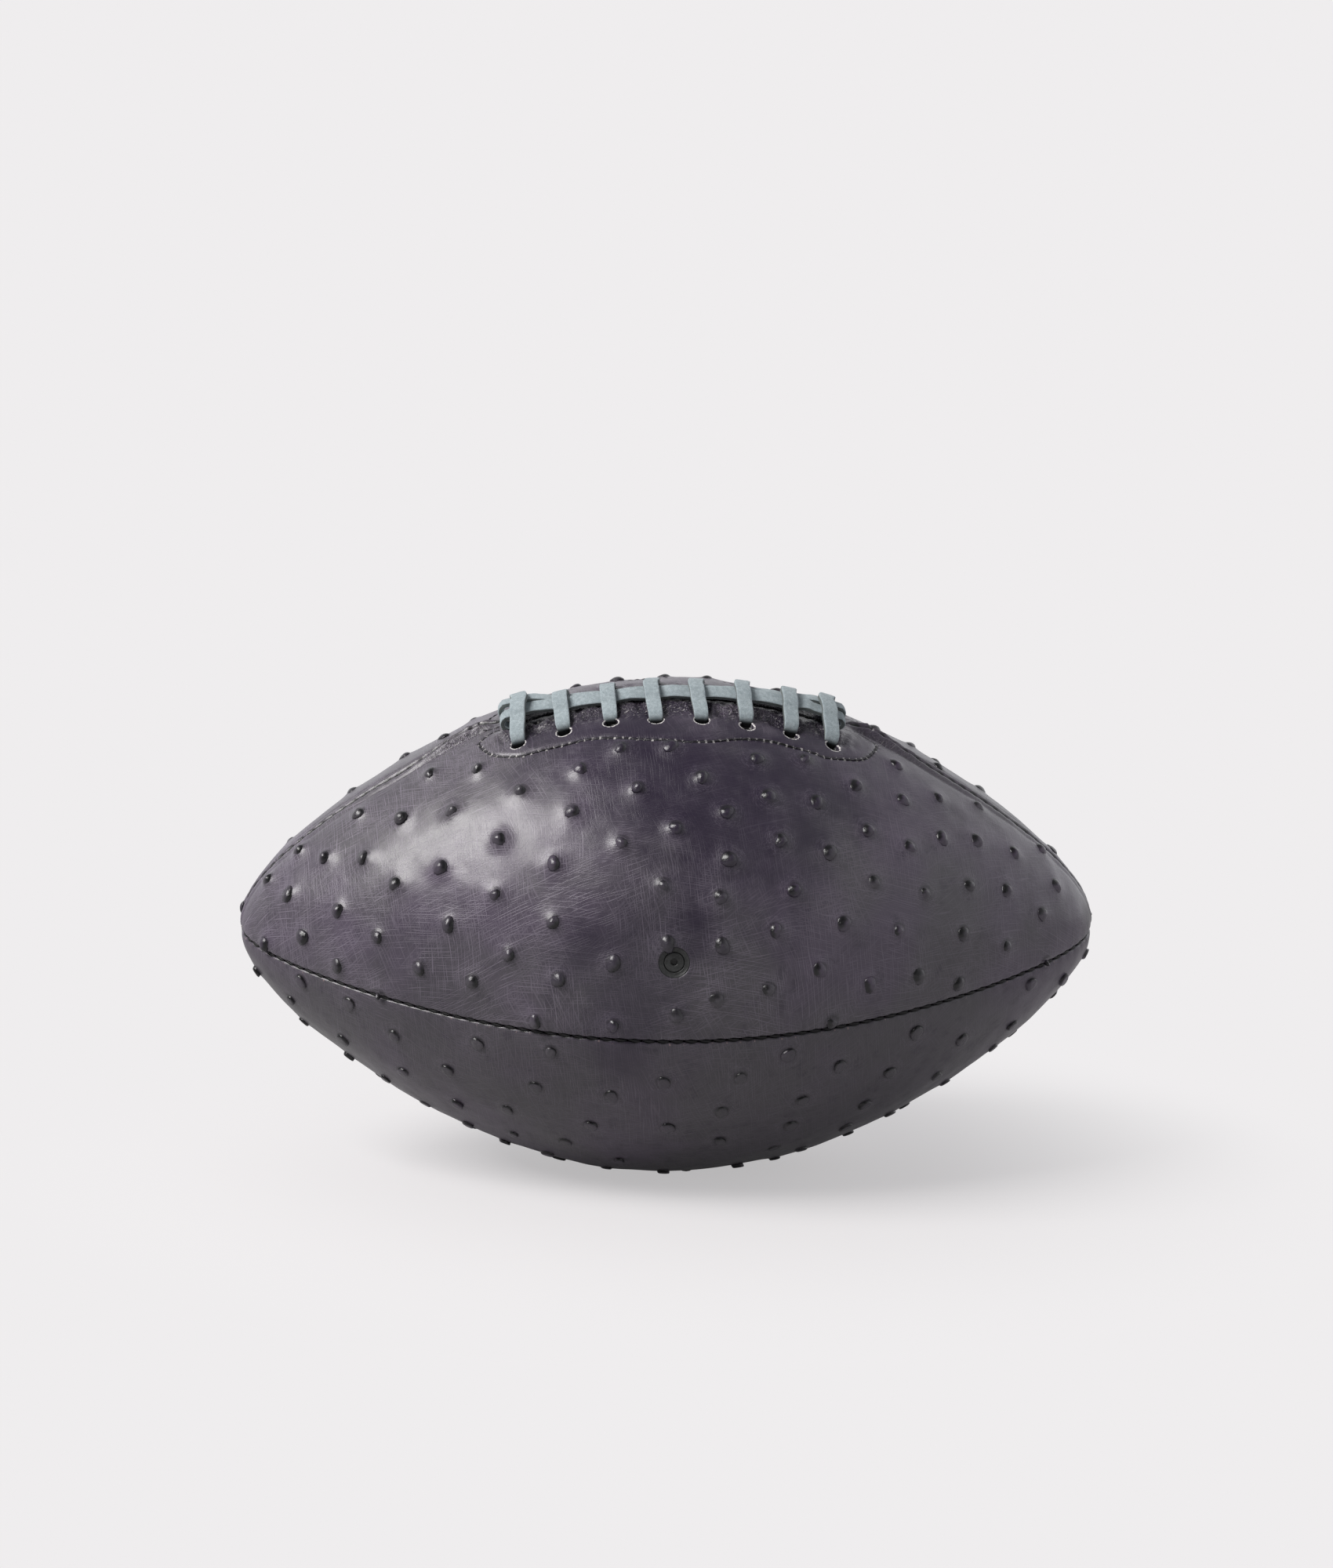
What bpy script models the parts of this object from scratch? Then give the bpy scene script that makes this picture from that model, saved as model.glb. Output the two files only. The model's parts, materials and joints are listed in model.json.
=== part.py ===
"""American football: four stitched leather panels over linings and a bladder, closed by a flat lace.

The ball is modelled in its own frame, with its long axis along X and its laced seam straight up. An empty
at its centre then rolls it towards -Y and lifts it onto the floor, so the origin is at the bottom centre.

A place on the ball is given as phi (0 at mid length, 90 degrees at a tip), theta (the angle round X, from +Y
towards +Z) and a height above the outer leather surface, negative inside. Near the lacing it is given as s
(along X), w (arc length from the laced seam, positive towards -Y) and the same height.
"""

import math

import bmesh
import bpy
import numpy as np

# The ball's overall form.
BALL_LENGTH = 0.285
BALL_RADIUS = 0.0825
SHAPE_POWER = 0.94
SHAPE_TAPER = 0.40
ROLL_TOWARDS_VIEWER = math.radians(17.0)
REST_FLAT_DEPTH = 0.0010

# Leather panels, with edges turned inwards and sewn together.
LEATHER_THICKNESS = 0.0020
INNER_ROLL_RADIUS = 0.0008
SEAM_FLANGE_LENGTH = 0.0017
TIP_ROLL_SHARE = 0.8
TIP_FLANGE_SHARE = 0.5
LINING_THICKNESS = 0.0010
BLADDER_THICKNESS = 0.0008

# Lace and lacing.
CROSS_LACES = 8
LACE_PITCH = 0.0146
LACE_WIDTH = 0.0052
LACE_THICKNESS = 0.0018
LACE_WIDTH_IN_HOLE = 0.0044
STRAND_GAP = 0.0003
STRAND_ARCH = 0.0007
LACE_END_OVERHANG = 0.0054
LACE_TAIL_LENGTH = 0.0110
LACE_HOLE_OFFSET = 0.0150
LACE_SHIFT_IN_HOLE = 0.0006
SLIT_HALF_WIDTH = 0.0010
FACING_WIDTH = 0.0285
FACING_THICKNESS = 0.0014
FACING_OVERRUN = 0.0115
TONGUE_THICKNESS = 0.0012
TONGUE_OVERRUN = 0.0135

# Valve.
VALVE_X = -0.0012
VALVE_ANGLE = math.radians(161.5)
VALVE_RIM_RADIUS = 0.0048
VALVE_FLANGE_RADIUS = 0.0074
VALVE_FLANGE_THICKNESS = 0.0009
VALVE_STEM_RADIUS = 0.0040
VALVE_STEM_LENGTH = 0.0090
PLUG_RADIUS = 0.0032
PLUG_LENGTH = 0.0090
NEEDLE_HOLE_RADIUS = 0.0011
VALVE_RECESS = 0.0003

# Sewing thread.
THREAD_RADIUS = 0.0004
SEAM_STITCH = 0.0060
SEAM_STITCH_END = math.radians(84.0)
SEAM_THREAD_DEPTH_SHARE = 0.42
FACING_STITCH = 0.0050
STITCH_RISE = 0.0004
FACING_STITCH_INSET = 0.0065
FACING_STITCH_BULGE = 0.0045
FACING_STITCH_BULGE_LENGTH = 0.0110
FACING_STITCH_END = 0.0024
FACING_STITCH_START = math.radians(8.0)

# Fits and facets.
CLEARANCE = 0.0003
FACET_ALLOWANCE = 0.00045
PHI_STEP = math.radians(10.0)
PHI_LAST_STATIONS = (math.radians(85.5), math.radians(88.5))
PHI_LINING_END = math.radians(80.0)
PANEL_SEGMENTS = 8
BLADDER_SEGMENTS = 4
LACE_HOLE_SIDES = 10
VALVE_SIDES = 12
SHARP_ANGLE = math.radians(40.0)
FINE_STEPS = 400

# Worked out from the sizes above.
HALF_LENGTH = BALL_LENGTH / 2
QUARTER = math.pi / 2
LACED_SEAM = QUARTER
CENTRE_HEIGHT = BALL_RADIUS - REST_FLAT_DEPTH
OUTER_ROLL_RADIUS = LEATHER_THICKNESS + INNER_ROLL_RADIUS
FLANGE_DEPTH = OUTER_ROLL_RADIUS + SEAM_FLANGE_LENGTH
SEAM_THREAD_DEPTH = SEAM_THREAD_DEPTH_SHARE * OUTER_ROLL_RADIUS
LINING_TOP = LEATHER_THICKNESS + CLEARANCE
LINING_BOTTOM = LINING_TOP + LINING_THICKNESS
LINING_EDGE = CLEARANCE / 2 + OUTER_ROLL_RADIUS + CLEARANCE
FACING_TOP = LINING_TOP + FACET_ALLOWANCE
FACING_BOTTOM = FACING_TOP + FACING_THICKNESS
INNER_LACE_TOP = max(FACING_BOTTOM, FLANGE_DEPTH) + 2 * FACET_ALLOWANCE
INNER_LACE_HEIGHT = -INNER_LACE_TOP - LACE_THICKNESS / 2
TONGUE_TOP = INNER_LACE_TOP + LACE_THICKNESS + FACET_ALLOWANCE
TONGUE_BOTTOM = TONGUE_TOP + TONGUE_THICKNESS
TONGUE_HALF_WIDTH = LACE_HOLE_OFFSET + LACE_THICKNESS
LINING_STEP = 2 * PHI_STEP
LINING_FACET_DROP = BALL_RADIUS * (
    1 - math.cos(LINING_STEP) ** SHAPE_POWER * (1 - SHAPE_TAPER * math.sin(LINING_STEP) ** 2)
)
LINING_FACET_SLOPE = LINING_FACET_DROP / (HALF_LENGTH * math.sin(LINING_STEP))
VALVE_FLANGE_DROP = (VALVE_FLANGE_RADIUS + abs(VALVE_X)) * LINING_FACET_SLOPE
VALVE_FLANGE_TOP = LINING_BOTTOM + VALVE_FLANGE_DROP + FACET_ALLOWANCE
VALVE_FLANGE_BOTTOM = VALVE_FLANGE_TOP + VALVE_FLANGE_THICKNESS
BLADDER_UNDER_PANEL = LINING_BOTTOM + FACET_ALLOWANCE + CLEARANCE
BLADDER_UNDER_SEAM = FLANGE_DEPTH + FACET_ALLOWANCE + CLEARANCE
BLADDER_UNDER_TONGUE = TONGUE_BOTTOM + FACET_ALLOWANCE
BLADDER_UNDER_VALVE = VALVE_FLANGE_BOTTOM + FACET_ALLOWANCE + CLEARANCE
LACE_ROW_HALF = LACE_PITCH * (CROSS_LACES - 1) / 2
LACE_END = LACE_ROW_HALF + LACE_END_OVERHANG
STRAND_W = (STRAND_GAP + LACE_WIDTH) / 2
STRAND_EDGE = STRAND_GAP / 2 + LACE_WIDTH
LACE_REST = CLEARANCE + LACE_THICKNESS / 2
LACE_OVER = CLEARANCE + 1.5 * LACE_THICKNESS + 2 * CLEARANCE
LACE_IN_HOLE = LACE_HOLE_OFFSET - LACE_SHIFT_IN_HOLE
LACE_HOLE_RADIUS = (
    math.hypot(LACE_WIDTH_IN_HOLE / 2, LACE_THICKNESS / 2 + LACE_SHIFT_IN_HOLE) + CLEARANCE
) / math.cos(math.pi / LACE_HOLE_SIDES)
NOTCH_HALF_LENGTH = LACE_THICKNESS / 2 + FACET_ALLOWANCE
NOTCH_HALF_WIDTH = STRAND_EDGE + FACET_ALLOWANCE
SLIT_HALF_LENGTH = LACE_END + NOTCH_HALF_LENGTH
FACING_HALF_LENGTH = LACE_END + FACING_OVERRUN
TONGUE_HALF_LENGTH = LACE_END + TONGUE_OVERRUN

LEATHER = (0.075, 0.068, 0.082)
LINING_CLOTH = (0.62, 0.58, 0.50)
FACING_VINYL = (0.20, 0.19, 0.19)
BLADDER_RUBBER = (0.05, 0.05, 0.055)
VALVE_RUBBER = (0.09, 0.09, 0.095)
LACE_SUEDE = (0.34, 0.40, 0.42)
THREAD_GREY = (0.25, 0.23, 0.25)


def clear_scene():
    for obj in list(bpy.data.objects):
        bpy.data.objects.remove(obj, do_unlink=True)


def profile(phi):
    """Axial place, radius and outward normal (axial, radial) of the ball's outline at phi."""
    sine, cosine = np.sin(phi), np.cos(phi)
    taper = 1 - SHAPE_TAPER * sine**2
    x = HALF_LENGTH * sine
    radius = BALL_RADIUS * cosine**SHAPE_POWER * taper
    slope_x = HALF_LENGTH * cosine
    slope_r = -BALL_RADIUS * (
        SHAPE_POWER * cosine ** (SHAPE_POWER - 1) * sine * taper
        + 2 * SHAPE_TAPER * cosine ** (SHAPE_POWER + 1) * sine
    )
    length = np.hypot(slope_x, slope_r)
    return x, radius, -slope_r / length, slope_x / length


def ball_point(phi, theta, height):
    x, radius, normal_x, normal_r = profile(phi)
    reach = radius + height * normal_r
    x, y, z = np.broadcast_arrays(x + height * normal_x, reach * np.cos(theta), reach * np.sin(theta))
    return np.stack([x, y, z], -1)


def lacing_point(place):
    """Maps (s, w, height) rows onto the ball."""
    s, w, height = np.moveaxis(np.asarray(place, float), -1, 0)
    phi = np.arcsin(s / HALF_LENGTH)
    radius = profile(phi)[1]
    return ball_point(phi, LACED_SEAM + w / radius, height)


def stations(last):
    """Values of phi at which every layer has its rings, the same on all of them."""
    steps = [PHI_STEP * i for i in range(int(QUARTER / PHI_STEP + 0.001))]
    half = [phi for phi in steps if phi <= last] + [phi for phi in PHI_LAST_STATIONS if phi <= last]
    return np.array([-phi for phi in reversed(half[1:])] + half)


def inner_stations():
    """Every second station and the last one, for the layers under the leather."""
    phi = stations(PHI_LINING_END)
    middle = len(phi) // 2
    return phi[[i for i in range(len(phi)) if i in (0, len(phi) - 1) or (i - middle) % 2 == 0]]


def angle_beside_seam(phi, distance, height):
    """Angle at which a point stands this far from the plane of a seam."""
    _, radius, _, normal_r = profile(phi)
    return np.arcsin(distance / (radius + height * normal_r))


def panel_grid(seam, phi, edge, height):
    """Rows at each phi of PANEL_SEGMENTS + 1 points between two seams, keeping edge from their planes."""
    start = angle_beside_seam(phi, edge, height)[:, None]
    share = np.linspace(0, 1, PANEL_SEGMENTS + 1)[None, :]
    theta = seam + start + share * (QUARTER - 2 * start)
    return ball_point(phi[:, None], theta, np.full_like(theta, height))


def turned_edge(seam, side, phi, across):
    """Points of a panel's edge: across holds (distance from the seam's plane, height) columns."""
    columns = []
    for distance, height in across:
        theta = seam + side * angle_beside_seam(phi, distance, height)
        columns.append(ball_point(phi, theta, height))
    return np.stack(columns, 1)


def new_object(name, points, faces, colour, roughness, parent):
    mesh = bpy.data.meshes.new(name)
    mesh.from_pydata([tuple(point) for point in points.reshape(-1, 3)], [], faces)
    work = bmesh.new()
    work.from_mesh(mesh)
    bmesh.ops.recalc_face_normals(work, faces=work.faces)
    work.to_mesh(mesh)
    work.free()
    obj = bpy.data.objects.new(name, mesh)
    bpy.context.scene.collection.objects.link(obj)
    obj.parent = parent
    if colour is None:
        obj.hide_render = True
        obj.display_type = "WIRE"
        return obj
    material = bpy.data.materials.new(name)
    material.use_nodes = True
    shader = material.node_tree.nodes["Principled BSDF"]
    shader.inputs["Base Color"].default_value = (*colour, 1.0)
    shader.inputs["Roughness"].default_value = roughness
    shader.inputs["Metallic"].default_value = 0.0
    mesh.materials.append(material)
    mesh.shade_smooth()
    mesh.set_sharp_from_angle(angle=SHARP_ANGLE)
    return obj


def grid_faces(rows, columns, start, closed):
    faces = []
    for i in range(rows - 1):
        for j in range(columns if closed else columns - 1):
            after = (j + 1) % columns
            low, high = start + i * columns, start + (i + 1) * columns
            faces.append((low + j, low + after, high + after, high + j))
    return faces


def shell(name, outer, inner, colour, roughness, parent):
    """A sheet of leather, cloth or rubber between two grids of the same size, closed round its rim."""
    rows, columns = outer.shape[:2]
    points = np.concatenate([outer.reshape(-1, 3), inner.reshape(-1, 3)])
    back = rows * columns
    faces = grid_faces(rows, columns, 0, False) + grid_faces(rows, columns, back, False)
    rim = list(range(columns))
    rim += [i * columns + columns - 1 for i in range(1, rows)]
    rim += [(rows - 1) * columns + j for j in range(columns - 2, -1, -1)]
    rim += [i * columns for i in range(rows - 2, 0, -1)]
    for here, after in zip(rim, rim[1:] + rim[:1]):
        faces.append((here, after, back + after, back + here))
    return new_object(name, points, faces, colour, roughness, parent)


def tube(name, rings, colour, roughness, parent):
    """A strip or thread swept through rings of the same number of corners, closed at both ends."""
    count, corners = rings.shape[:2]
    faces = grid_faces(count, corners, 0, True)
    faces.append(tuple(range(corners)))
    faces.append(tuple(range((count - 1) * corners, count * corners)))
    return new_object(name, rings, faces, colour, roughness, parent)


def cut(obj, *cutters):
    for cutter in cutters:
        modifier = obj.modifiers.new("cut_" + cutter.name, "BOOLEAN")
        modifier.operation = "DIFFERENCE"
        modifier.solver = "EXACT"
        modifier.object = cutter


def leather_panel(name, seam, parent):
    """A quarter of the ball, pointed at both ends, whose long edges turn inwards into sewing flanges.

    At the tips the panel is narrower than two full edges, so there its rolls and flanges take a share of it.
    """
    phi = stations(PHI_LAST_STATIONS[-1])
    _, radius, _, normal_r = profile(phi)
    half_gap = CLEARANCE / 2
    room_outside = radius * math.sin(QUARTER / 2) - half_gap
    room_inside = (radius - FLANGE_DEPTH * normal_r) * math.sin(QUARTER / 2) - half_gap
    roll = np.minimum(OUTER_ROLL_RADIUS, TIP_ROLL_SHARE * room_outside)
    flange = np.minimum(LEATHER_THICKNESS, TIP_FLANGE_SHARE * room_inside)
    inner_roll = np.minimum(INNER_ROLL_RADIUS, TIP_FLANGE_SHARE / 2 * room_inside)
    bend = 1 - math.sin(math.pi / 4)
    outside = [(half_gap, -FLANGE_DEPTH), (half_gap, -roll), (half_gap + roll * bend, -roll * bend)]
    inside = [
        (half_gap + flange, -FLANGE_DEPTH),
        (half_gap + flange, -LEATHER_THICKNESS - inner_roll),
        (half_gap + flange + inner_roll * bend, -LEATHER_THICKNESS - inner_roll * bend),
    ]
    far_seam = seam + QUARTER
    outer = np.concatenate(
        [
            turned_edge(seam, 1, phi, outside),
            panel_grid(seam, phi, half_gap + roll, 0.0),
            turned_edge(far_seam, -1, phi, outside)[:, ::-1],
        ],
        1,
    )
    inner = np.concatenate(
        [
            turned_edge(seam, 1, phi, inside),
            panel_grid(seam, phi, half_gap + flange + inner_roll, -LEATHER_THICKNESS),
            turned_edge(far_seam, -1, phi, inside)[:, ::-1],
        ],
        1,
    )
    return shell(name, outer, inner, LEATHER, 0.42, parent)


def cut_rest_flat(panel):
    """Takes the panel's lowest part off along the plane of the floor."""
    down = np.array([0.0, -math.sin(ROLL_TOWARDS_VIEWER), -math.cos(ROLL_TOWARDS_VIEWER)])
    work = bmesh.new()
    work.from_mesh(panel.data)
    sliced = bmesh.ops.bisect_plane(
        work,
        geom=[*work.verts, *work.edges, *work.faces],
        plane_co=down * CENTRE_HEIGHT,
        plane_no=down,
        clear_outer=True,
    )
    edges = [item for item in sliced["geom_cut"] if isinstance(item, bmesh.types.BMEdge)]
    bmesh.ops.edgeloop_fill(work, edges=edges)
    bmesh.ops.recalc_face_normals(work, faces=work.faces)
    work.to_mesh(panel.data)
    work.free()


def lining(name, seam, parent):
    phi = inner_stations()
    outer = panel_grid(seam, phi, LINING_EDGE, -LINING_TOP)
    inner = panel_grid(seam, phi, LINING_EDGE, -LINING_BOTTOM)
    return shell(name, outer, inner, LINING_CLOTH, 0.9, parent)


def lacing_stations(half_length):
    places = [HALF_LENGTH * math.sin(phi) for phi in stations(PHI_LINING_END)]
    inside = [s for s in places if abs(s) < half_length - LEATHER_THICKNESS]
    return np.array([-half_length, *inside, half_length])


def lacing_sheet(name, half_length, across, top, bottom, colour, parent):
    s = lacing_stations(half_length)[:, None]
    w = np.asarray(across)[None, :]
    outer = lacing_point(np.stack(np.broadcast_arrays(s, w, -top), -1))
    inner = lacing_point(np.stack(np.broadcast_arrays(s, w, -bottom), -1))
    return shell(name, outer, inner, colour, 0.8, parent)


def lacing_block_cutter(name, s, half_width, low, high, parent):
    s = np.asarray(s)[:, None]
    columns = 2 + 2 * round(half_width / LACE_WIDTH)
    w = np.linspace(-half_width, half_width, columns)[None, :]
    outer = lacing_point(np.stack(np.broadcast_arrays(s, w, high), -1))
    inner = lacing_point(np.stack(np.broadcast_arrays(s, w, low), -1))
    return shell(name, outer, inner, None, None, parent)


def lace_places():
    return [LACE_PITCH * i - LACE_ROW_HALF for i in range(CROSS_LACES)]


def lace_hole_cutter(name, side, parent):
    turn = 2 * math.pi * np.arange(LACE_HOLE_SIDES) / LACE_HOLE_SIDES
    points, faces = [], []
    for s in lace_places():
        start = len(points)
        for height in (-FACING_BOTTOM - LACE_THICKNESS, LACE_THICKNESS):
            along = s + LACE_HOLE_RADIUS * np.cos(turn)
            around = side * LACE_HOLE_OFFSET + LACE_HOLE_RADIUS * np.sin(turn)
            ring = lacing_point(np.stack(np.broadcast_arrays(along, around, height), -1))
            points.extend(ring)
        faces += grid_faces(2, LACE_HOLE_SIDES, start, True)
        faces.append(tuple(range(start, start + LACE_HOLE_SIDES)))
        faces.append(tuple(range(start + LACE_HOLE_SIDES, start + 2 * LACE_HOLE_SIDES)))
    return new_object(name, np.array(points), faces, None, None, parent)


def valve_turning(profile_points, closed):
    """Turns (radius, height) points about the valve's axis: closed rings of points, one for each of them."""
    phi = math.asin(VALVE_X / HALF_LENGTH)
    centre = ball_point(phi, VALVE_ANGLE, 0.0)
    outward = ball_point(phi, VALVE_ANGLE, 1.0) - centre
    along = np.array([1.0, 0.0, 0.0]) - outward * outward[0]
    along /= np.linalg.norm(along)
    across = np.cross(outward, along)
    turn = 2 * math.pi * np.arange(VALVE_SIDES) / VALVE_SIDES
    rings = [
        centre + height * outward + radius * (np.outer(np.cos(turn), along) + np.outer(np.sin(turn), across))
        for radius, height in profile_points
    ]
    faces = grid_faces(len(rings), VALVE_SIDES, 0, True)
    if closed:
        last = (len(rings) - 1) * VALVE_SIDES
        for j in range(VALVE_SIDES):
            after = (j + 1) % VALVE_SIDES
            faces.append((last + j, last + after, after, j))
    else:
        faces.append(tuple(range(VALVE_SIDES)))
        faces.append(tuple(range((len(rings) - 1) * VALVE_SIDES, len(rings) * VALVE_SIDES)))
    return np.array(rings), faces


def valve_bore_cutter(name, radius, low, high, parent):
    points, faces = valve_turning([(radius, low), (radius, high)], False)
    return new_object(name, points, faces, None, None, parent)


def valve_housing(parent):
    """Rubber stem with a dished rim that shows in the panel, and a flange under the lining."""
    bore = PLUG_RADIUS + CLEARANCE
    stem_end = -VALVE_FLANGE_BOTTOM - VALVE_STEM_LENGTH
    plug_end = -VALVE_RECESS - CLEARANCE - PLUG_LENGTH - CLEARANCE
    outline = [
        (bore, -VALVE_RECESS - 2 * CLEARANCE),
        (VALVE_RIM_RADIUS - 2 * CLEARANCE, -VALVE_RECESS - 2 * CLEARANCE),
        (VALVE_RIM_RADIUS, -VALVE_RECESS),
        (VALVE_RIM_RADIUS, -VALVE_FLANGE_TOP),
        (VALVE_FLANGE_RADIUS, -VALVE_FLANGE_TOP - CLEARANCE),
        (VALVE_FLANGE_RADIUS, -VALVE_FLANGE_BOTTOM),
        (VALVE_STEM_RADIUS, -VALVE_FLANGE_BOTTOM),
        (VALVE_STEM_RADIUS, stem_end),
        (NEEDLE_HOLE_RADIUS, stem_end),
        (NEEDLE_HOLE_RADIUS, plug_end),
        (bore, plug_end),
    ]
    points, faces = valve_turning(outline, True)
    return new_object("valve_housing", points, faces, VALVE_RUBBER, 0.6, parent)


def valve_plug(parent):
    top = -VALVE_RECESS - CLEARANCE
    outline = [
        (NEEDLE_HOLE_RADIUS, top - NEEDLE_HOLE_RADIUS / 2),
        (NEEDLE_HOLE_RADIUS * 1.5, top),
        (PLUG_RADIUS, top),
        (PLUG_RADIUS, top - PLUG_LENGTH),
        (NEEDLE_HOLE_RADIUS / 2, top - PLUG_LENGTH),
        (NEEDLE_HOLE_RADIUS / 2, top - PLUG_LENGTH / 3),
    ]
    points, faces = valve_turning(outline, True)
    return new_object("valve_plug", points, faces, VALVE_RUBBER, 0.5, parent)


def arc_between(theta, other, radius):
    """Distance round the ball between two angles, the shorter way."""
    return np.abs(np.angle(np.exp(1j * (theta - other)))) * radius


def bladder_grid(phi, extra):
    """Rings of the bladder, pressed outwards under the panels and held in by seams, tongue and valve."""
    share = np.linspace(0, 1, BLADDER_SEGMENTS + 1)
    start = angle_beside_seam(phi, LINING_EDGE, -LINING_BOTTOM)[:, None]
    quarters = [LACED_SEAM + k * QUARTER + start + share * (QUARTER - 2 * start) for k in range(4)]
    theta = np.concatenate(quarters, 1)
    x, radius = (value[:, None] for value in profile(phi)[:2])
    edge = np.tile((share == 0) | (share == 1), 4)[None, :]
    depth = np.where(edge, BLADDER_UNDER_SEAM, BLADDER_UNDER_PANEL) + 0 * theta
    step_round = QUARTER / BLADDER_SEGMENTS * BALL_RADIUS
    step_along = LINING_STEP * HALF_LENGTH
    under_tongue = arc_between(theta, LACED_SEAM, radius) < TONGUE_HALF_WIDTH + step_round
    under_tongue &= np.abs(x) < TONGUE_HALF_LENGTH + step_along
    depth = np.where(under_tongue, BLADDER_UNDER_TONGUE, depth)
    under_valve = arc_between(theta, VALVE_ANGLE, radius) < VALVE_FLANGE_RADIUS + step_round
    under_valve &= np.abs(x - VALVE_X) < step_along / 2
    depth = np.where(under_valve, BLADDER_UNDER_VALVE, depth)
    depth[[0, -1]] = BLADDER_UNDER_SEAM
    return ball_point(phi[:, None], theta, -depth - extra)


def bladder(parent):
    phi = inner_stations()
    wall = tube("bladder", bladder_grid(phi, 0.0), BLADDER_RUBBER, 0.55, parent)
    hollow = tube("bladder_hollow", bladder_grid(phi, BLADDER_THICKNESS), None, None, parent)
    opening = valve_bore_cutter(
        "bladder_opening",
        VALVE_STEM_RADIUS + CLEARANCE,
        -BLADDER_UNDER_VALVE - VALVE_STEM_LENGTH,
        0.0,
        parent,
    )
    cut(wall, hollow, opening)


def lace_rings(centres, widths, flats):
    """Four corners of the lace round each centre; widths are half-width vectors, all in (s, w, height)."""
    centres, widths = np.asarray(centres, float), np.asarray(widths, float)
    tangents = np.gradient(centres, axis=0)
    normals = np.cross(widths, tangents)
    normals *= (LACE_THICKNESS / 2) / np.linalg.norm(normals, axis=1, keepdims=True)
    normals[flats] = [0.0, 0.0, LACE_THICKNESS / 2]
    under, over = centres - normals, centres + normals
    return lacing_point(np.stack([under - widths, under + widths, over + widths, over - widths], 1))


def over_strands(s):
    """The lace's way over the ball from the hole at +w to the hole at -w, at one place s."""
    half = [
        (LACE_IN_HOLE, INNER_LACE_HEIGHT + 0.9 * LACE_THICKNESS),
        (LACE_IN_HOLE, -LACE_THICKNESS / 4),
        (LACE_IN_HOLE - 0.2 * LACE_THICKNESS, LACE_REST - 0.3 * LACE_THICKNESS),
        (LACE_IN_HOLE - 0.8 * LACE_THICKNESS, LACE_REST + 0.05 * LACE_THICKNESS),
        (STRAND_EDGE + 1.7 * LACE_THICKNESS, LACE_REST + 0.05 * LACE_THICKNESS),
        (STRAND_EDGE + 0.86 * LACE_THICKNESS, LACE_OVER - LACE_THICKNESS / 2),
        (STRAND_EDGE, LACE_OVER),
    ]
    way = half + [(-w, height) for w, height in reversed(half)]
    return [(s, w, height) for w, height in way]


def in_plane_turn(s_start, w_start, s_end, w_end, along_first):
    """A quarter turn at the inner level between running along s and running along w."""
    places, directions = [], []
    for share in (0.0, 0.5, 1.0):
        turn = share * QUARTER
        if along_first:
            s = s_start + (s_end - s_start) * math.sin(turn)
            w = w_end - (w_end - w_start) * math.cos(turn)
            direction = (math.sin(turn), math.cos(turn))
        else:
            s = s_end - (s_end - s_start) * math.cos(turn)
            w = w_start + (w_end - w_start) * math.sin(turn)
            direction = (math.cos(turn), math.sin(turn))
        places.append((s, w, INNER_LACE_HEIGHT))
        directions.append(direction)
    return places, directions


def strand(w):
    """Top run of a lengthwise strand from its right end to its left, arched between the cross laces."""
    places = lace_places()
    points = [(LACE_END - 0.9 * LACE_THICKNESS, w, LACE_REST)]
    for left, right in reversed(list(zip(places, places[1:]))):
        points.append((right, w, LACE_REST))
        points.append(((left + right) / 2, w, LACE_REST + STRAND_ARCH))
    points.append((places[0], w, LACE_REST))
    points.append((places[0] - LACE_END_OVERHANG * 0.4, w, LACE_REST + STRAND_ARCH))
    return points


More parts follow.
